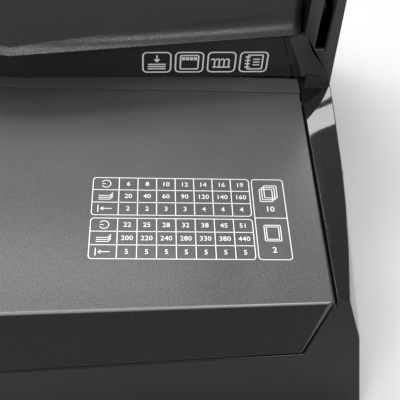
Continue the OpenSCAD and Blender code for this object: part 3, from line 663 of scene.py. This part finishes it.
def plane(origin, across, up):
    """Matrix of a surface through a point, with the direction of a print's lines and of its columns."""
    across, up = across.normalized(), up.normalized()
    matrix = Matrix((across, up, across.cross(up))).transposed().to_4x4()
    return Matrix.Translation(origin) @ matrix


# Operators

class BINDER_OT_finishes(bpy.types.Operator):
    """Makes every finish and gives it to the CAD nodes"""
    bl_idname = "binder.finishes"
    bl_label = "Finishes"

    def execute(self, context):
        make_finishes(context.scene.binder_finishes)
        for part in frame["record"]["subparts"]:
            mesh = frame["nodes"][part["node"]].data
            mesh.materials.clear()
            mesh.materials.append(FINISHES[part["material_slot"]])
        return {"FINISHED"}


class BINDER_OT_casing(bpy.types.Operator):
    """Rounds the glossy base, the chip tray's front, the rear panel and the strip before the slot"""
    bl_idname = "binder.casing"
    bl_label = "Base casing"
    # Slices along the side strips' twist, and the height of the strips below the base's top
    slices = 20
    strip = 4 * MM
    # A foot's profile, as shares of its height and of its radius
    foot = ((0.25, 0), (0.25, 0.3), (0, 0.38), (0, 0.86), (0.1, 0.94), (0.3, 1), (1, 0.96), (1, 0))

    def execute(self, context):
        edge = context.scene.binder_mouldings
        self.shoulders(edge)
        rounded_node("tray_front", edge.panel, edge.segments, merge=SEAM)
        rounded_node("rear_panel", edge.panel)
        rounded_node("entry_strip", edge.sheet, 2)
        rounded_node("base_plate", edge.sheet, 2, merge=SEAM)
        self.feet()
        return {"FINISHED"}

    def shoulders(self, edge):
        """The base, whose side strips turn down towards their outer edges in front of the columns."""
        bm = node_copy("base_casing", SEAM)
        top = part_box("base_casing")[1].z
        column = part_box("right_column")
        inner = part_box("front_cover")[1].x + edge.casing
        core = 0.7 * top * UP

        def outward(face):
            return face.normal.dot(face.calc_center_median() - core) > 0

        upper = [e for e in sharp_edges(bm) if e.is_convex and max(v.co.z for v in e.verts) > 0.5 * top]
        outer = [e for e in upper if any(map(outward, e.link_faces))]
        bevel(bm, outer, edge.casing, edge.segments, clamp=False)
        for step in range(1, int(1.5 * self.slices)):
            slice_plane(bm, (0, column[0].y - step / self.slices * edge.twist, 0), BACK, dist=SEAM)
        for vert in bm.verts:
            ahead = (column[0].y - vert.co.y) / edge.twist
            if abs(vert.co.x) > inner and ahead > 0 and vert.co.z > top - self.strip:
                turn = min(1, ahead) ** 2 * (3 - 2 * min(1, ahead))
                vert.co.z -= edge.shoulder * turn * (abs(vert.co.x) - inner) / (column[1].x - inner)
        bm.normal_update()
        finish_piece("base_casing_moulding", bm, "frame_body", "gloss_black", ["base_casing"])

    def feet(self):
        bm = bmesh.new()
        for low, high in islands("rubber_feet"):
            centre, radius, rise = (low + high) / 2, (high.x - low.x) / 2, high.z - low.z
            centre.z = low.z
            join_into(bm, spun([(up * rise, out * radius) for up, out in self.foot], UP, centre))
        finish_piece("moulded_feet", bm, "frame_body", "rubber", ["rubber_feet"])


class BINDER_OT_cover(bpy.types.Operator):
    """Shapes the table cover with its side facets and rounded front edge"""
    bl_idname = "binder.cover"
    bl_label = "Table cover"
    # Shares of a facet's width: across it at the lip and the hinge, back along the flank, and on the table
    narrow, flank, table = 0.15, 0.4, 0.5
    # Height of the apron's lip
    lip = 5 * MM

    def execute(self, context):
        edge = context.scene.binder_mouldings
        bm = node_copy("front_cover", SEAM)

        def up(normal):
            return normal.z > 0.99

        def front(normal):
            return normal.y < -0.97

        def front_edge(normal):
            return normal.y < -0.25 and 0.3 < normal.z < 0.98

        def on_facet(normal):
            return any(normal.dot(facet) > 0.999 for facet in facets)

        facets = [self.facet(bm, edge.facet, side) for side in (-1, 1)]
        bm.normal_update()
        bevel(bm, edges_between(bm, up, front), edge.cover, 5, clamp=False)
        bm.normal_update()
        bevel(bm, edges_between(bm, up, lambda normal: normal.y > 0.9), edge.sheet, 2)
        bevel(bm, edges_between(bm, front, lambda normal: normal.z < -0.9), edge.panel, 2)
        finish_piece("table_cover", bm, "cover", "cover_grey", ["front_cover"], sharp=32,
                     # Painted highlight on the rounded front edge
                     extra=[("rubbed_edge", lambda face: front_edge(face.normal)),
                            ("cover_facet", lambda face: on_facet(face.normal)),
                            # Painted shade on the apron's front face
                            ("apron_black", lambda face: front(face.normal))])
        return {"FINISHED"}

    def facet(self, bm, width, side):
        """Cuts the facets of one flank, which run out at hinge and lip; returns the normal of the apron's."""
        low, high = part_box("front_cover")
        inside, out = (low + high) / 2, side * RIGHT
        points = [vert.co.copy() for vert in bm.verts]
        brink = [point for point in points if point.dot(out) > high.x - SEAM and point.z > high.z - 2 * SEAM]
        lip = [point for point in points if point.z < low.z + self.lip]
        corner = min(brink, key=lambda point: point.y)
        foot = max(lip, key=lambda point: point.x * side - point.y)
        rear = Vector((side * high.x, high.y, high.z))
        along = (foot - corner).normalized()
        inward = (along * along.dot(out) - out).normalized()
        back = along.cross(inward)
        if back.y < 0:
            back.negate()
        apron = cut_off(bm, inside, corner, corner + inward * width, corner + back * self.flank * width,
                        foot + inward * self.narrow * width)
        cut_off(bm, inside, corner, corner - out * self.table * width, corner - UP * self.table * width,
                rear - out * self.narrow * width)
        return apron


class BINDER_OT_columns(bpy.types.Operator):
    """Rounds both columns and the fascia between them"""
    bl_idname = "binder.columns"
    bl_label = "Columns and fascia"
    # How far the gussets reach behind the columns' front
    gusset_depth = 6 * MM

    def execute(self, context):
        edge = context.scene.binder_mouldings
        rear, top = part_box("right_column")[0].y + self.gusset_depth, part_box("fascia")[1].z

        def gusset(face):
            """Faces of the hollow gussets, which look forwards and inwards."""
            middle = face.calc_center_median()
            inward = -math.copysign(1, middle.x) * face.normal.x
            return middle.y < rear and middle.z < top and 0.05 < inward < 0.7 and face.normal.y < -0.6

        # The gussets' faces get painted light: a lighter grey than the columns' own
        for node in ("left_column", "right_column"):
            rounded_node(node, edge.column, edge.segments, crease=11, extra=[("gusset_grey", gusset)])
        rounded_node("fascia", edge.panel, edge.segments)
        rounded_node("top_deck", edge.sheet, 2)
        return {"FINISHED"}


class BINDER_OT_hood(bpy.types.Operator):
    """Lofts the hood's shell: flared lip, leaning face, rounded brow and rolled ends"""
    bl_idname = "binder.hood"
    bl_label = "Hood"
    spans = 24
    roll_steps = 6
    lip_steps = 6
    # Where the lip bends and ends, in millimetres back and up from its edge, at the prow and at the ends
    bend = Vector((2.5, 1.1)), Vector((6.6, 3))
    crease = Vector((5, 2.2)), Vector((6.6, 14))
    # Fall of the top towards the rear, and the reach and play of the hinge bosses
    fall = 2 * MM
    boss = 6 * MM
    play = 0.05 * MM

    def execute(self, context):
        self.form = context.scene.binder_hood
        self.low, self.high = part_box("hood")
        self.half = self.high.x
        rows = len(self.section(0, 0)) - 1
        bm = draped(self.spans + 2 * self.roll_steps, rows, self.place)
        foot = self.low.z + self.form.skirt - WELD
        for side in (-1, 1):
            wall = [v for v in bm.verts if v.co.x * side > self.half - WELD and v.co.z > foot]
            middle = sum((v.co for v in wall), Vector()) / len(wall)
            wall.sort(key=lambda v: math.atan2(v.co.z - middle.z, v.co.y - middle.y))
            bm.faces.new(wall)
        bmesh.ops.recalc_face_normals(bm, faces=bm.faces)
        finish_piece("hood_shell", bm, "hood", "hood_black", ["hood"], wall=self.form.wall,
                     rim=context.scene.binder_mouldings.sheet)
        self.bosses()
        return {"FINISHED"}

    def place(self, column, row):
        """Point of the shell at a column along X and a row of its profile."""
        roll = self.form.roll
        flat = self.half - roll
        step = column - self.roll_steps - self.spans / 2
        over = abs(step) - self.spans / 2
        if over <= 0:
            x, inset = step / (self.spans / 2) * flat, 0
        else:
            turn = math.pi / 2 * over / self.roll_steps
            x, inset = math.copysign(flat + roll * math.sin(turn), step), roll * (1 - math.cos(turn))
        along, up = self.section(abs(x) / self.half, inset)[row]
        return x, along, up

    def section(self, share, inset):
        """Y-Z profile from the lip over the brow to the rear, at a share of the half width."""
        form = self.form
        shift = Vector((inset, 0))
        lip = Vector((self.low.y + math.tan(form.prow) * share * self.half, self.low.z)) + shift
        bend, crease = (lip + prow.lerp(end, share) * MM for prow, end in (self.bend, self.crease))

        def face(z):
            return Vector((crease.x + (z - crease.y) * math.tan(form.lean), z))

        steps = [i / self.lip_steps for i in range(self.lip_steps + 1)]
        flare = [lip * (1 - t) ** 2 + bend * 2 * t * (1 - t) + crease * t ** 2 for t in steps]
        edge = face(self.low.z + form.skirt)
        brow = face(self.high.z - form.brow_drop)
        crown = Vector((brow.x + form.crown_run, self.high.z - inset))
        rear = Vector((self.high.y - inset, self.high.z - self.fall - inset))
        foot = Vector((rear.x, self.high.z - form.rear_drop))
        return [*flare, edge, *rounded_corner(edge, brow, crown, form.brow),
                *rounded_corner(brow, crown, rear, form.crown),
                *rounded_corner(crown, rear, foot, form.rear), foot]

    def bosses(self):
        """Hinge bosses inside the shell's ends."""
        bm = bmesh.new()
        for low, high in islands("hood_pins"):
            side = math.copysign(1, low.x)
            centre = (low + high) / 2
            bore = (high.z - low.z) / 2 + self.play
            start, end = (side * (self.half - reach) - centre.x for reach in (self.boss, self.form.wall))
            ring = [(start, bore), (end, bore), (end, 2 * bore), (start, 2 * bore), (start, bore)]
            join_into(bm, spun(ring, RIGHT, centre, 32))
        finish_piece("hood_bosses", bm, "hood", "hood_black")


class BINDER_OT_handle(bpy.types.Operator):
    """Rounds the handle's arms and bar, and turns its grooved grip and end caps"""
    bl_idname = "binder.handle"
    bl_label = "Handle"
    # Plain length at the grip's ends, and its play on the bar
    plain = 20 * MM
    play = 0.02 * MM
    # The grip's rounded end, in and down, and a groove, along in millimetres and down as a share of its depth
    grip_end = ((2.2, 0), (1.2, 0.25), (0.4, 0.9), (0, 1.8))
    groove = ((-1.3, 0), (-0.7, 0.8), (0, 1), (0.7, 0.8), (1.3, 0))
    # A cap's flange, its radius beyond the plug, its dome and the plug's lead
    flange = 3 * MM
    overhang = 3.02 * MM
    dome = 2.2 * MM
    lead = 1 * MM

    def execute(self, context):
        edge = context.scene.binder_mouldings
        for node in ("left_arm", "right_arm"):
            rounded_node(node, edge.panel, 2)
        rounded_node("handle_bar", edge.sheet, 2)
        self.grip(context.scene.binder_controls)
        self.caps()
        return {"FINISHED"}

    def grip(self, form):
        low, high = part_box("handle_grip")
        bar_low, bar_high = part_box("handle_bar")
        inner = (bar_high.z - bar_low.z) / 2 + self.play
        half, outer = high.x, (high.z - low.z) / 2
        end = [(half - in_ * MM, outer - down * MM) for in_, down in self.grip_end] + [(half, inner)]
        profile = [(-along, radius) for along, radius in reversed(end)]
        count = int((2 * half - self.plain) / form.groove_pitch)
        for i in range(count):
            middle = (i - (count - 1) / 2) * form.groove_pitch
            profile += [(middle + at * MM, outer - down * form.groove) for at, down in self.groove]
        bm = spun([*profile, *end, (-half, inner)], RIGHT, (low + high) / 2)
        finish_piece("grooved_grip", bm, "handle", "rubber", ["handle_grip"])

    def caps(self):
        bm = bmesh.new()
        dome, turns = self.dome, [math.radians(15 * i) for i in range(7)]
        for low, high in islands("handle_caps"):
            side = math.copysign(1, low.x)
            rim, total = (high.z - low.z) / 2, high.x - low.x
            centre = (low + high) / 2 - side * total / 2 * RIGHT
            plug, seat = rim - self.overhang, total - self.flange
            profile = [(0, 0), (0, plug - self.lead), (self.lead, plug), (seat, plug), (seat, rim)]
            profile += [(total - dome * (1 - math.sin(a)), rim - dome * (1 - math.cos(a))) for a in turns]
            join_into(bm, spun(profile + [(total, 0)], side * RIGHT, centre))
        finish_piece("domed_caps", bm, "handle", "control_black", ["handle_caps"])


class BINDER_OT_controls(bpy.types.Operator):
    """Shapes the opener's lever, the margin knob and the edge guide with their ribs and flutes"""
    bl_idname = "binder.controls"
    bl_label = "Controls"
    # A rib's width as a share of the pitch, and its rounding as one of its height
    rib_width, rib_round, guide_round = 0.45, 0.4, 0.3
    # A rib's length on the lever, and how much shorter than the guide its ribs are
    rib_length = 10 * MM
    rib_margin = 2 * MM
    # The knob's disc, and a flute's width and distance from the disc's two edges together
    disc = 3 * MM
    flute = 1.2 * MM

    def execute(self, context):
        form, edge = context.scene.binder_controls, context.scene.binder_mouldings
        rounded_node("opener_lever", edge.panel, edge.segments)
        self.lever_cap(form, edge)
        self.knob(form, edge)
        self.guide(form, edge)
        return {"FINISHED"}

    def lever_cap(self, form, edge):
        """Rubber cap, a rib's height lower than its solid, so the ribs stay inside the machine's width."""
        low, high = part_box("lever_cap")
        pivot = sum(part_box("opener_shaft"), Vector()) / 2
        centre = (low + high) / 2
        along = Vector((0, centre.y - pivot.y, centre.z - pivot.z)).normalized()
        bm = node_copy("lever_cap")
        outer = [v for v in bm.verts if v.co.x < low.x + WELD]
        bmesh.ops.translate(bm, verts=outer, vec=form.rib * RIGHT)
        bevel(bm, sharp_edges(bm), edge.panel, edge.segments)
        turn = plane(Vector((low.x + form.rib, centre.y, centre.z)), RIGHT, along)
        size = (2 * form.rib, self.rib_width * form.rib_pitch, self.rib_length)
        for i in range(-3, 4):
            bar(bm, size, turn @ Matrix.Translation((0, i * form.rib_pitch, 0)), self.rib_round * form.rib)
        finish_piece("ribbed_lever_cap", bm, "opener", "rubber", ["lever_cap"])

    def knob(self, form, edge):
        low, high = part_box("margin_knob")
        centre, radius = (low + high) / 2, (high.y - low.y) / 2
        bm = node_copy("margin_knob")
        bevel(bm, sharp_edges(bm), edge.panel, edge.segments)
        hub = Matrix.Translation((low.x + self.disc / 2, centre.y, centre.z))
        rim = Matrix.Translation((0, radius, 0))
        size = (self.disc - self.flute, form.rib, self.flute)
        for i in range(form.flutes):
            turn = Matrix.Rotation(2 * math.pi * i / form.flutes, 4, "X")
            bar(bm, size, hub @ turn @ rim, self.rib_round * form.rib)
        finish_piece("fluted_knob", bm, "margin", "control_black", ["margin_knob"])

    def guide(self, form, edge):
        low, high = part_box("edge_guide")
        bm = node_copy("edge_guide")
        bevel(bm, sharp_edges(bm), edge.panel, 2)
        centre = (low + high) / 2
        size = (self.rib_width * form.rib_pitch, high.y - low.y - self.rib_margin, form.rib)
        for i in range(-1, 2):
            place = Matrix.Translation((centre.x + i * form.rib_pitch, centre.y, high.z))
            bar(bm, size, place, self.guide_round * form.rib)
        finish_piece("ribbed_guide", bm, "guide", "control_black", ["edge_guide"])


class BINDER_OT_works(bpy.types.Operator):
    """Takes the edges off trays, frames, plates, shafts, gears and cams"""
    bl_idname = "binder.works"
    bl_label = "Trays and works"
    trays = ("comb_tray", "chip_tray")
    plates = ("left_frame", "right_frame", "die_plate", "stripper_plate", "depth_stop", "tine_plate",
              "hook_plate", "comb_hooks")
    rods = ("drive_shaft", "opener_shaft", "knob_shaft", "guide_rods", "hood_pins", "cover_pins", "punch_bar")
    gears = ("punch_pins", "pinions", "hook_racks", "punch_cams", "stop_cam", "shaft_bushes")
    # Edge radius of rods and of gears, as shares of that of sheet metal
    rod_edge, gear_edge = 1.6, 0.5

    def execute(self, context):
        edge = context.scene.binder_mouldings
        rod, gear = self.rod_edge * edge.sheet, self.gear_edge * edge.sheet
        for nodes, width, segments in ((self.trays, edge.panel, 3), (self.plates, edge.sheet, 2),
                                       (self.rods, rod, 2), (self.gears, gear, 1)):
            for node in nodes:
                rounded_node(node, width, segments)
        return {"FINISHED"}


class BINDER_OT_springs(bpy.types.Operator):
    """Winds the return springs"""
    bl_idname = "binder.springs"
    bl_label = "Return springs"
    wire = 1.2 * MM
    turns = 5
    steps = 24

    def execute(self, context):
        bm = bmesh.new()
        for low, high in islands("punch_springs"):
            self.wind(bm, low, high)
        bmesh.ops.recalc_face_normals(bm, faces=bm.faces)
        piece = finish_piece("wound_springs", bm, "frame_body", "spring_steel", ["punch_springs"], sharp=60)
        foot, top = (corner.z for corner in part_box("punch_springs"))
        joints = frame["record"]["behaviour"]["joints"]
        slide = next(joint for joint in joints if joint["name"] == "punch_slide")
        1 - slide["range_m"][1] / (top - foot)
        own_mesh(piece)
        return {"FINISHED"}

    def wind(self, bm, low, high):
        centre = (low + high) / 2
        radius = (high.x - low.x - self.wire) / 2
        start = Vector((centre.x + radius, centre.y, low.z + self.wire / 2))
        place = Matrix.Translation(start) @ Matrix.Rotation(math.pi / 2, 4, "X")
        ring = bmesh.ops.create_circle(bm, segments=10, radius=self.wire / 2, matrix=place)
        edges = list({edge for vert in ring["verts"] for edge in vert.link_edges})
        count = self.turns * self.steps
        rise = (high.z - low.z - self.wire) / count
        wound = bmesh.ops.spin(bm, geom=edges, cent=centre, axis=(0, 0, 1), dvec=(0, 0, rise),
                               angle=2 * math.pi * self.turns, steps=count)
        for end in (edges, only(bmesh.types.BMEdge, wound["geom_last"])):
            bmesh.ops.contextual_create(bm, geom=end)


class BINDER_OT_screws(bpy.types.Operator):
    """Makes the pan-head screws with a cross recess"""
    bl_idname = "binder.screws"
    bl_label = "Screws"
    heads = {"base_screws": (0, 0, -1), "deck_screws": (0, 0, 1), "rear_screws": (0, 1, 0)}
    # Radius of the shank, the height and inset of its tip, and the height of the head
    shank = 1.5 * MM
    tip = 0.6 * MM
    tip_in = 0.4 * MM
    head = 1.5 * MM
    # The head's outline, as shares of its height below the top and of its radius
    pan = ((1, 1), (0.55, 1), (0.2, 0.86), (0, 0.66))
    # Depth of the cross recess, the length of its arms and half their width
    recess = 0.9 * MM
    arm = 1.5 * MM
    slot = 0.35 * MM

    def execute(self, context):
        for node, out in self.heads.items():
            bm = bmesh.new()
            for low, high in islands(node):
                join_into(bm, self.screw(low, high, Vector(out)))
            finish_piece(node + "_turned", bm, "frame_body", "screw_steel", [node], sharp=35)
        return {"FINISHED"}

    def screw(self, low, high, out):
        """One screw in the box of its solid, with its head's top towards a direction."""
        centre, size = (low + high) / 2, high - low
        total = abs(size.dot(out))
        radius = size.x / 2
        top = centre + out * total / 2
        head, shank = self.head, self.shank
        profile = [(-total, 0), (-total, shank - self.tip_in), (self.tip - total, shank), (-head, shank)]
        profile += [(-down * head, share * radius) for down, share in self.pan]
        bm = spun(profile, out, top, 24)
        rim = [edge for edge in bm.edges if len(edge.link_faces) == 1]
        across = out.orthogonal().normalized()
        corners = [(self.arm, self.slot), (self.slot, self.slot), (self.slot, self.arm)]
        outline = []
        for turn in range(4):
            spin = Matrix.Rotation(turn * math.pi / 2, 3, out)
            outline += [top + spin @ (across * x + out.cross(across) * y) for x, y in corners]
        verts = [bm.verts.new(point) for point in outline]
        cross = [bm.edges.new(pair) for pair in zip(verts, verts[1:] + verts[:1])]
        bmesh.ops.triangle_fill(bm, use_beauty=True, edges=rim + cross, normal=out)
        sunk = bmesh.ops.extrude_edge_only(bm, edges=cross)["geom"]
        bmesh.ops.translate(bm, verts=only(bmesh.types.BMVert, sunk), vec=-out * self.recess)
        floor = [edge for edge in only(bmesh.types.BMEdge, sunk) if len(edge.link_faces) == 1]
        bmesh.ops.contextual_create(bm, geom=floor)
        bmesh.ops.recalc_face_normals(bm, faces=bm.faces)
        return bm


class BINDER_OT_prints(bpy.types.Operator):
    """Prints the size chart, the pictograms, the guide's scale and the dial's figures"""
    bl_idname = "binder.prints"
    bl_label = "Printed marks"
    # Comb sizes in millimetres, sheets that each holds, and the margin to set
    bands = (((6, 8, 10, 12, 14, 16, 19), (20, 40, 60, 90, 120, 140, 160), (2, 2, 3, 3, 4, 4, 4)),
             ((22, 25, 28, 32, 38, 45, 51), (200, 220, 240, 280, 330, 380, 440), (5, 5, 5, 5, 5, 5, 5)))
    # Drawn in millimetres: the column of marks before the figures, the gap beside the symbol panel, half of
    # the gap between the bands and the corners of their frames, a pictogram's frame, and the guide's ticks
    head = 13
    gap = 1.5
    half_gap = 1
    corner = 1.6
    card_height, card_corner = 14, 2.4
    ticks, tick_pitch, long_tick, short_tick = 11, 5, 2.2, 1.4
    tick_inset = 0.5 * MM
    # The dial's ticks and figures beyond the knob's rim, and the figures' size
    dial_tick, dial_tick_end, dial_figure, dial_size = 1.2, 2.6, 4.8, 4
    # The dial's figures in their order, the turn from one to the next, and where the knob's mark starts
    dial_figures, dial_step = (5, 4, 3, 2), math.radians(60)
    mark_start = 5
    # The chart's middle on the table, the left edge and height of the first pictogram, and the fascia's turn
    chart_place = 92 * MM, -76.5 * MM
    cards_left, cards_height = 67.8 * MM, 96.6 * MM
    fascia_turn = math.radians(2.45)
    # Draft of the columns' outer faces
    draft = math.radians(2)

    def execute(self, context):
        form = context.scene.binder_print
        self.chart(form)
        self.cards(form)
        self.scale(form)
        self.dial(form)
        return {"FINISHED"}

    def chart(self, form):
        """Two bands of figures with a column of pictograms, and a panel of symbols."""
        ink = Print(form.line, form.depth)
        right, top = form.chart_width / MM / 2, form.chart_depth / MM / 2
        edge = right - form.panel / MM - self.gap
        count = len(self.bands[0][0])
        step = (edge + right - self.head) / count
        rise = (top - self.half_gap) / 3
        for band, base in zip(self.bands, (self.half_gap, -top)):
            ink.box(-right, base, edge, base + 3 * rise, self.corner)
            for row, numbers in enumerate(band):
                y = base + (2.5 - row) * rise
                if row:
                    ink.line((-right, y + rise / 2), (edge, y + rise / 2))
                for column, number in enumerate(numbers):
                    x = -right + self.head + (column + 0.5) * step
                    ink.figures(str(number), x, y, form.figures / MM)
            for column in range(count):
                x = -right + self.head + column * step
                ink.line((x, base), (x, base + 3 * rise))
            self.row_marks(ink, -right + self.head / 2, base, rise)
        self.symbols(ink, right - form.panel / MM, right, top, form.figures / MM)
        place = Matrix.Translation((*self.chart_place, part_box("front_cover")[1].z))
        ink.lay("printed_chart", "cover", "cover_grey", place)

    def row_marks(self, ink, x, base, rise):
        """Comb, sheets and margin: the pictograms before the three rows."""
        y = base + 2.5 * rise
        ink.arc(x, y, 2.3, -150, 150)
        ink.line((x - 2, y), (x - 0.2, y))
        y -= rise
        for shift in (-1.2, 0, 1.2):
            ink.line((x - 3.4, y - 0.9 + shift), (x + 2.2, y - 0.9 + shift), (x + 3.6, y + 0.9 + shift))
        y -= rise
        ink.line((x - 3.4, y - 2.2), (x - 3.4, y + 2.2))
        ink.arrow(x + 3.4, y, x - 2.2, y, 1.4)

    def symbols(self, ink, x0, x1, top, size):
        """The most sheets of paper, and of stiff cover, for one stroke."""
        middle = (x0 + x1) / 2
        ink.box(x0, -top, x1, top, self.corner)
        ink.line((x0, 0), (x1, 0))
        for shift in (0, 1.2, 2.4):
            ink.box(middle - 4.4 + shift, 10.5 + shift, middle + 2 + shift, 18.5 + shift, 0.5)
        ink.box(middle - 4, -14, middle + 4, -4.5, 0.5)
        ink.box(middle - 3, -13, middle + 3, -5.5, 0.3)
        ink.figures("10", middle, 5.5, 1.2 * size)
        ink.figures("2", middle, -19.5, 1.2 * size)

    def cards(self, form):
        """Four framed pictograms over the slot: sheets go in, holes, comb, bound book."""
        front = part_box("fascia")[0].y
        slope = math.tan(self.fascia_turn)
        wide, tall = form.icon / MM / 2, self.card_height / 2
        for number, draw in enumerate((self.sheets, self.holes, self.comb, self.book)):
            ink = Print(form.bold, form.depth)
            ink.box(-wide, -tall, wide, tall, self.card_corner)
            draw(ink)
            x = self.cards_left + form.icon / 2 + number * form.pitch
            place = plane(Vector((x, front + slope * x, self.cards_height)), Vector((1, slope, 0)), UP)
            ink.lay(f"pictogram_{number + 1}", "frame_body", "fascia_black", place)

    def sheets(self, ink):
        for y in (-4.6, -3, -1.4):
            ink.line((-5, y), (5, y))
        ink.arrow(0, 5, 0, 0.4, 2)

    def holes(self, ink):
        ink.box(-5, -4.8, 5, 4.8, 0.6)
        for x in (-3.3, -1.1, 1.1, 3.3):
            ink.box(x - 0.5, 1.8, x + 0.5, 3.2, 0.1)

    def comb(self, ink):
        ink.line((-5, -3.6), (5, -3.6))
        for x in (-4, -1.3, 1.4, 4.1):
            ink.line((x, -3.6), (x, 1.4))
            ink.arc(x - 0.9, 1.4, 0.9, 0, 180, 10)

    def book(self, ink):
        ink.box(-3.4, -5, 5, 5, 0.6)
        for y in (-3.6, -1.2, 1.2, 3.6):
            ink.line((-5, y), (-2, y))
        for y in (-2, 0, 2):
            ink.line((-0.4, y), (3.4, y))

    def scale(self, form):
        """Ticks along the edge guide's way."""
        ink = Print(form.line, form.depth)
        low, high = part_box("entry_strip")
        for i in range(self.ticks):
            x = i * self.tick_pitch
            ink.line((x, 0), (x, self.short_tick if i % 2 else self.long_tick))
        place = Matrix.Translation((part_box("edge_guide")[0].x, low.y + self.tick_inset, high.z))
        ink.lay("guide_scale", "frame_body", "strip_grey", place)

    def dial(self, form):
        """Margins round the knob on the column's drafted face, and the knob's own mark."""
        low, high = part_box("margin_knob")
        centre, radius = (low + high) / 2, (high.y - low.y) / 2 / MM
        foot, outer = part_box("right_column")
        face = outer.x - (centre.z - foot.z) * math.tan(self.draft)
        ink = Print(form.line, form.depth)
        for step, figure in enumerate(self.dial_figures):
            turn = step * self.dial_step
            out = Vector((math.cos(turn), math.sin(turn)))
            ink.line(out * (radius + self.dial_tick), out * (radius + self.dial_tick_end))
            ink.figures(str(figure), *out * (radius + self.dial_figure), self.dial_size)
        up = Vector((-math.sin(self.draft), 0, math.cos(self.draft)))
        ink.lay("dial_figures", "frame_body", "satin_black",
                plane(Vector((face, centre.y, centre.z)), BACK, up))
        mark = Print(form.bold, form.depth)
        mark.line((self.mark_start, 0), (radius - self.dial_tick, 0))
        disc = Vector((low.x + BINDER_OT_controls.disc, centre.y, centre.z))
        mark.lay("knob_mark", "margin", "control_black", plane(disc, BACK, UP))


class BINDER_OT_stage(bpy.types.Operator):
    """Sets up the floor, the even light, the lamps and the camera"""
    bl_idname = "binder.stage"
    bl_label = "Stage"
    # Sizes and places of the lamps in metres; the fills look at the machine, the others straight down
    lamps = (("softbox", (1.3, 0.5), (-0.45, 0.5, 1.25)), ("side", (0.6, 0.5), (-0.65, 0.15, 1.25)),
             ("key", (0.5, 0.5), (0, -0.15, 1.25)))
    fills = (("left fill", (-0.6, -0.9, 0.9)), ("right fill", (0.5, -1, 0.9)))
    fill_size = 0.5, 0.5
    machine = 0, 0, 0.1
    # Bright panels that the glossy side strip mirrors
    windows = (("near window", (0.07, 0.4), (0.54, 0.95, 1.1)), ("far window", (0.17, 0.4), (0.7, 0.95, 1.1)))

    def execute(self, context):
        scene = context.scene
        stage = scene.binder_stage
        scene.view_settings.view_transform = "Standard"
        self.floor(stage)
        self.sky(scene, stage)
        for name, size, place in self.lamps:
            self.lamp(name, getattr(stage, name), size, place)
        for name, place in self.fills:
            self.lamp(name, stage.fill, self.fill_size, place, self.machine)
        for name, size, place in self.windows:
            self.lamp(name, stage.window * size[0] * size[1], size, place)
        camera = linked("camera", bpy.data.cameras.new("camera"))
        camera.location = stage.eye
        camera.rotation_euler = stage.turn
        camera.data.lens = stage.lens
        camera.data.sensor_width = 36
        camera.data.clip_start = 0.01
        scene.camera = camera
        return {"FINISHED"}

    def floor(self, stage):
        """A pale disc that fades into the backdrop towards its rim."""
        bm = bmesh.new()
        bmesh.ops.create_circle(bm, cap_ends=True, segments=64, radius=stage.reach)
        floor = linked("floor", mesh_of("floor", bm))
        made = Finish("floor")
        away = made.node("ShaderNodeVectorMath", {"operation": "LENGTH"}, {0: made.place}, out="Value")
        fade = made.node("ShaderNodeMapRange", {"interpolation_type": "SMOOTHSTEP"},
                         {"Value": away, "From Min": 0.3 * stage.reach, "From Max": stage.reach,
                          "To Min": 1, "To Max": 0})
        made.set({"Base Color": made.blend(made.seen(), scaled(stage.floor, stage.bounce), stage.floor),
                  "Roughness": 0.9, "Specular IOR Level": 0, "Alpha": fade})
        floor.data.materials.append(made.material)

    def sky(self, scene, stage):
        """Even light that is brighter where it is seen as the backdrop."""
        scene.world = bpy.data.worlds.new("studio")
        scene.world.use_nodes = True
        sky = Shading(scene.world.node_tree, "Background")
        sky.set({"Color": (1, 1, 1, 1), "Strength": sky.seen() * (stage.backdrop - stage.sky) + stage.sky})

    def lamp(self, name, power, size, place, target=None):
        """An area lamp that looks at a target, or straight down."""
        data = bpy.data.lights.new(name, "AREA")
        data.energy = power
        data.shape = "RECTANGLE"
        data.size, data.size_y = size
        lamp = linked(name, data)
        lamp.location = place
        aim = Vector(target or (*place[:2], 0)) - Vector(place)
        lamp.rotation_euler = aim.to_track_quat("-Z", "Y").to_euler()


class BINDER_PT_sidebar(bpy.types.Panel):
    """Lists the pieces in the order in which they are made"""
    bl_label = "Comb binding machine"
    bl_space_type = "VIEW_3D"
    bl_region_type = "UI"
    bl_category = "Binder"

    def draw(self, context):
        for operator in OPERATORS:
            self.layout.operator(operator.bl_idname)


SETTINGS = {"binder_finishes": BinderFinishes, "binder_mouldings": BinderMouldings, "binder_hood": BinderHood,
            "binder_controls": BinderControls, "binder_print": BinderPrint, "binder_stage": BinderStage}
OPERATORS = [BINDER_OT_finishes, BINDER_OT_casing, BINDER_OT_cover, BINDER_OT_columns, BINDER_OT_hood,
             BINDER_OT_handle, BINDER_OT_controls, BINDER_OT_works, BINDER_OT_springs, BINDER_OT_screws,
             BINDER_OT_prints, BINDER_OT_stage]


def register():
    for cls in [*SETTINGS.values(), *OPERATORS, BINDER_PT_sidebar]:
        bpy.utils.register_class(cls)
    for name, cls in SETTINGS.items():
        setattr(bpy.types.Scene, name, PointerProperty(type=cls))


def unregister():
    for name in SETTINGS:
        delattr(bpy.types.Scene, name)
    for cls in reversed([*SETTINGS.values(), *OPERATORS, BINDER_PT_sidebar]):
        bpy.utils.unregister_class(cls)


def main():
    register()
    for operator in OPERATORS:
        group, name = operator.bl_idname.split(".")
        getattr(getattr(bpy.ops, group), name)()


if __name__ == "__main__":
    main()
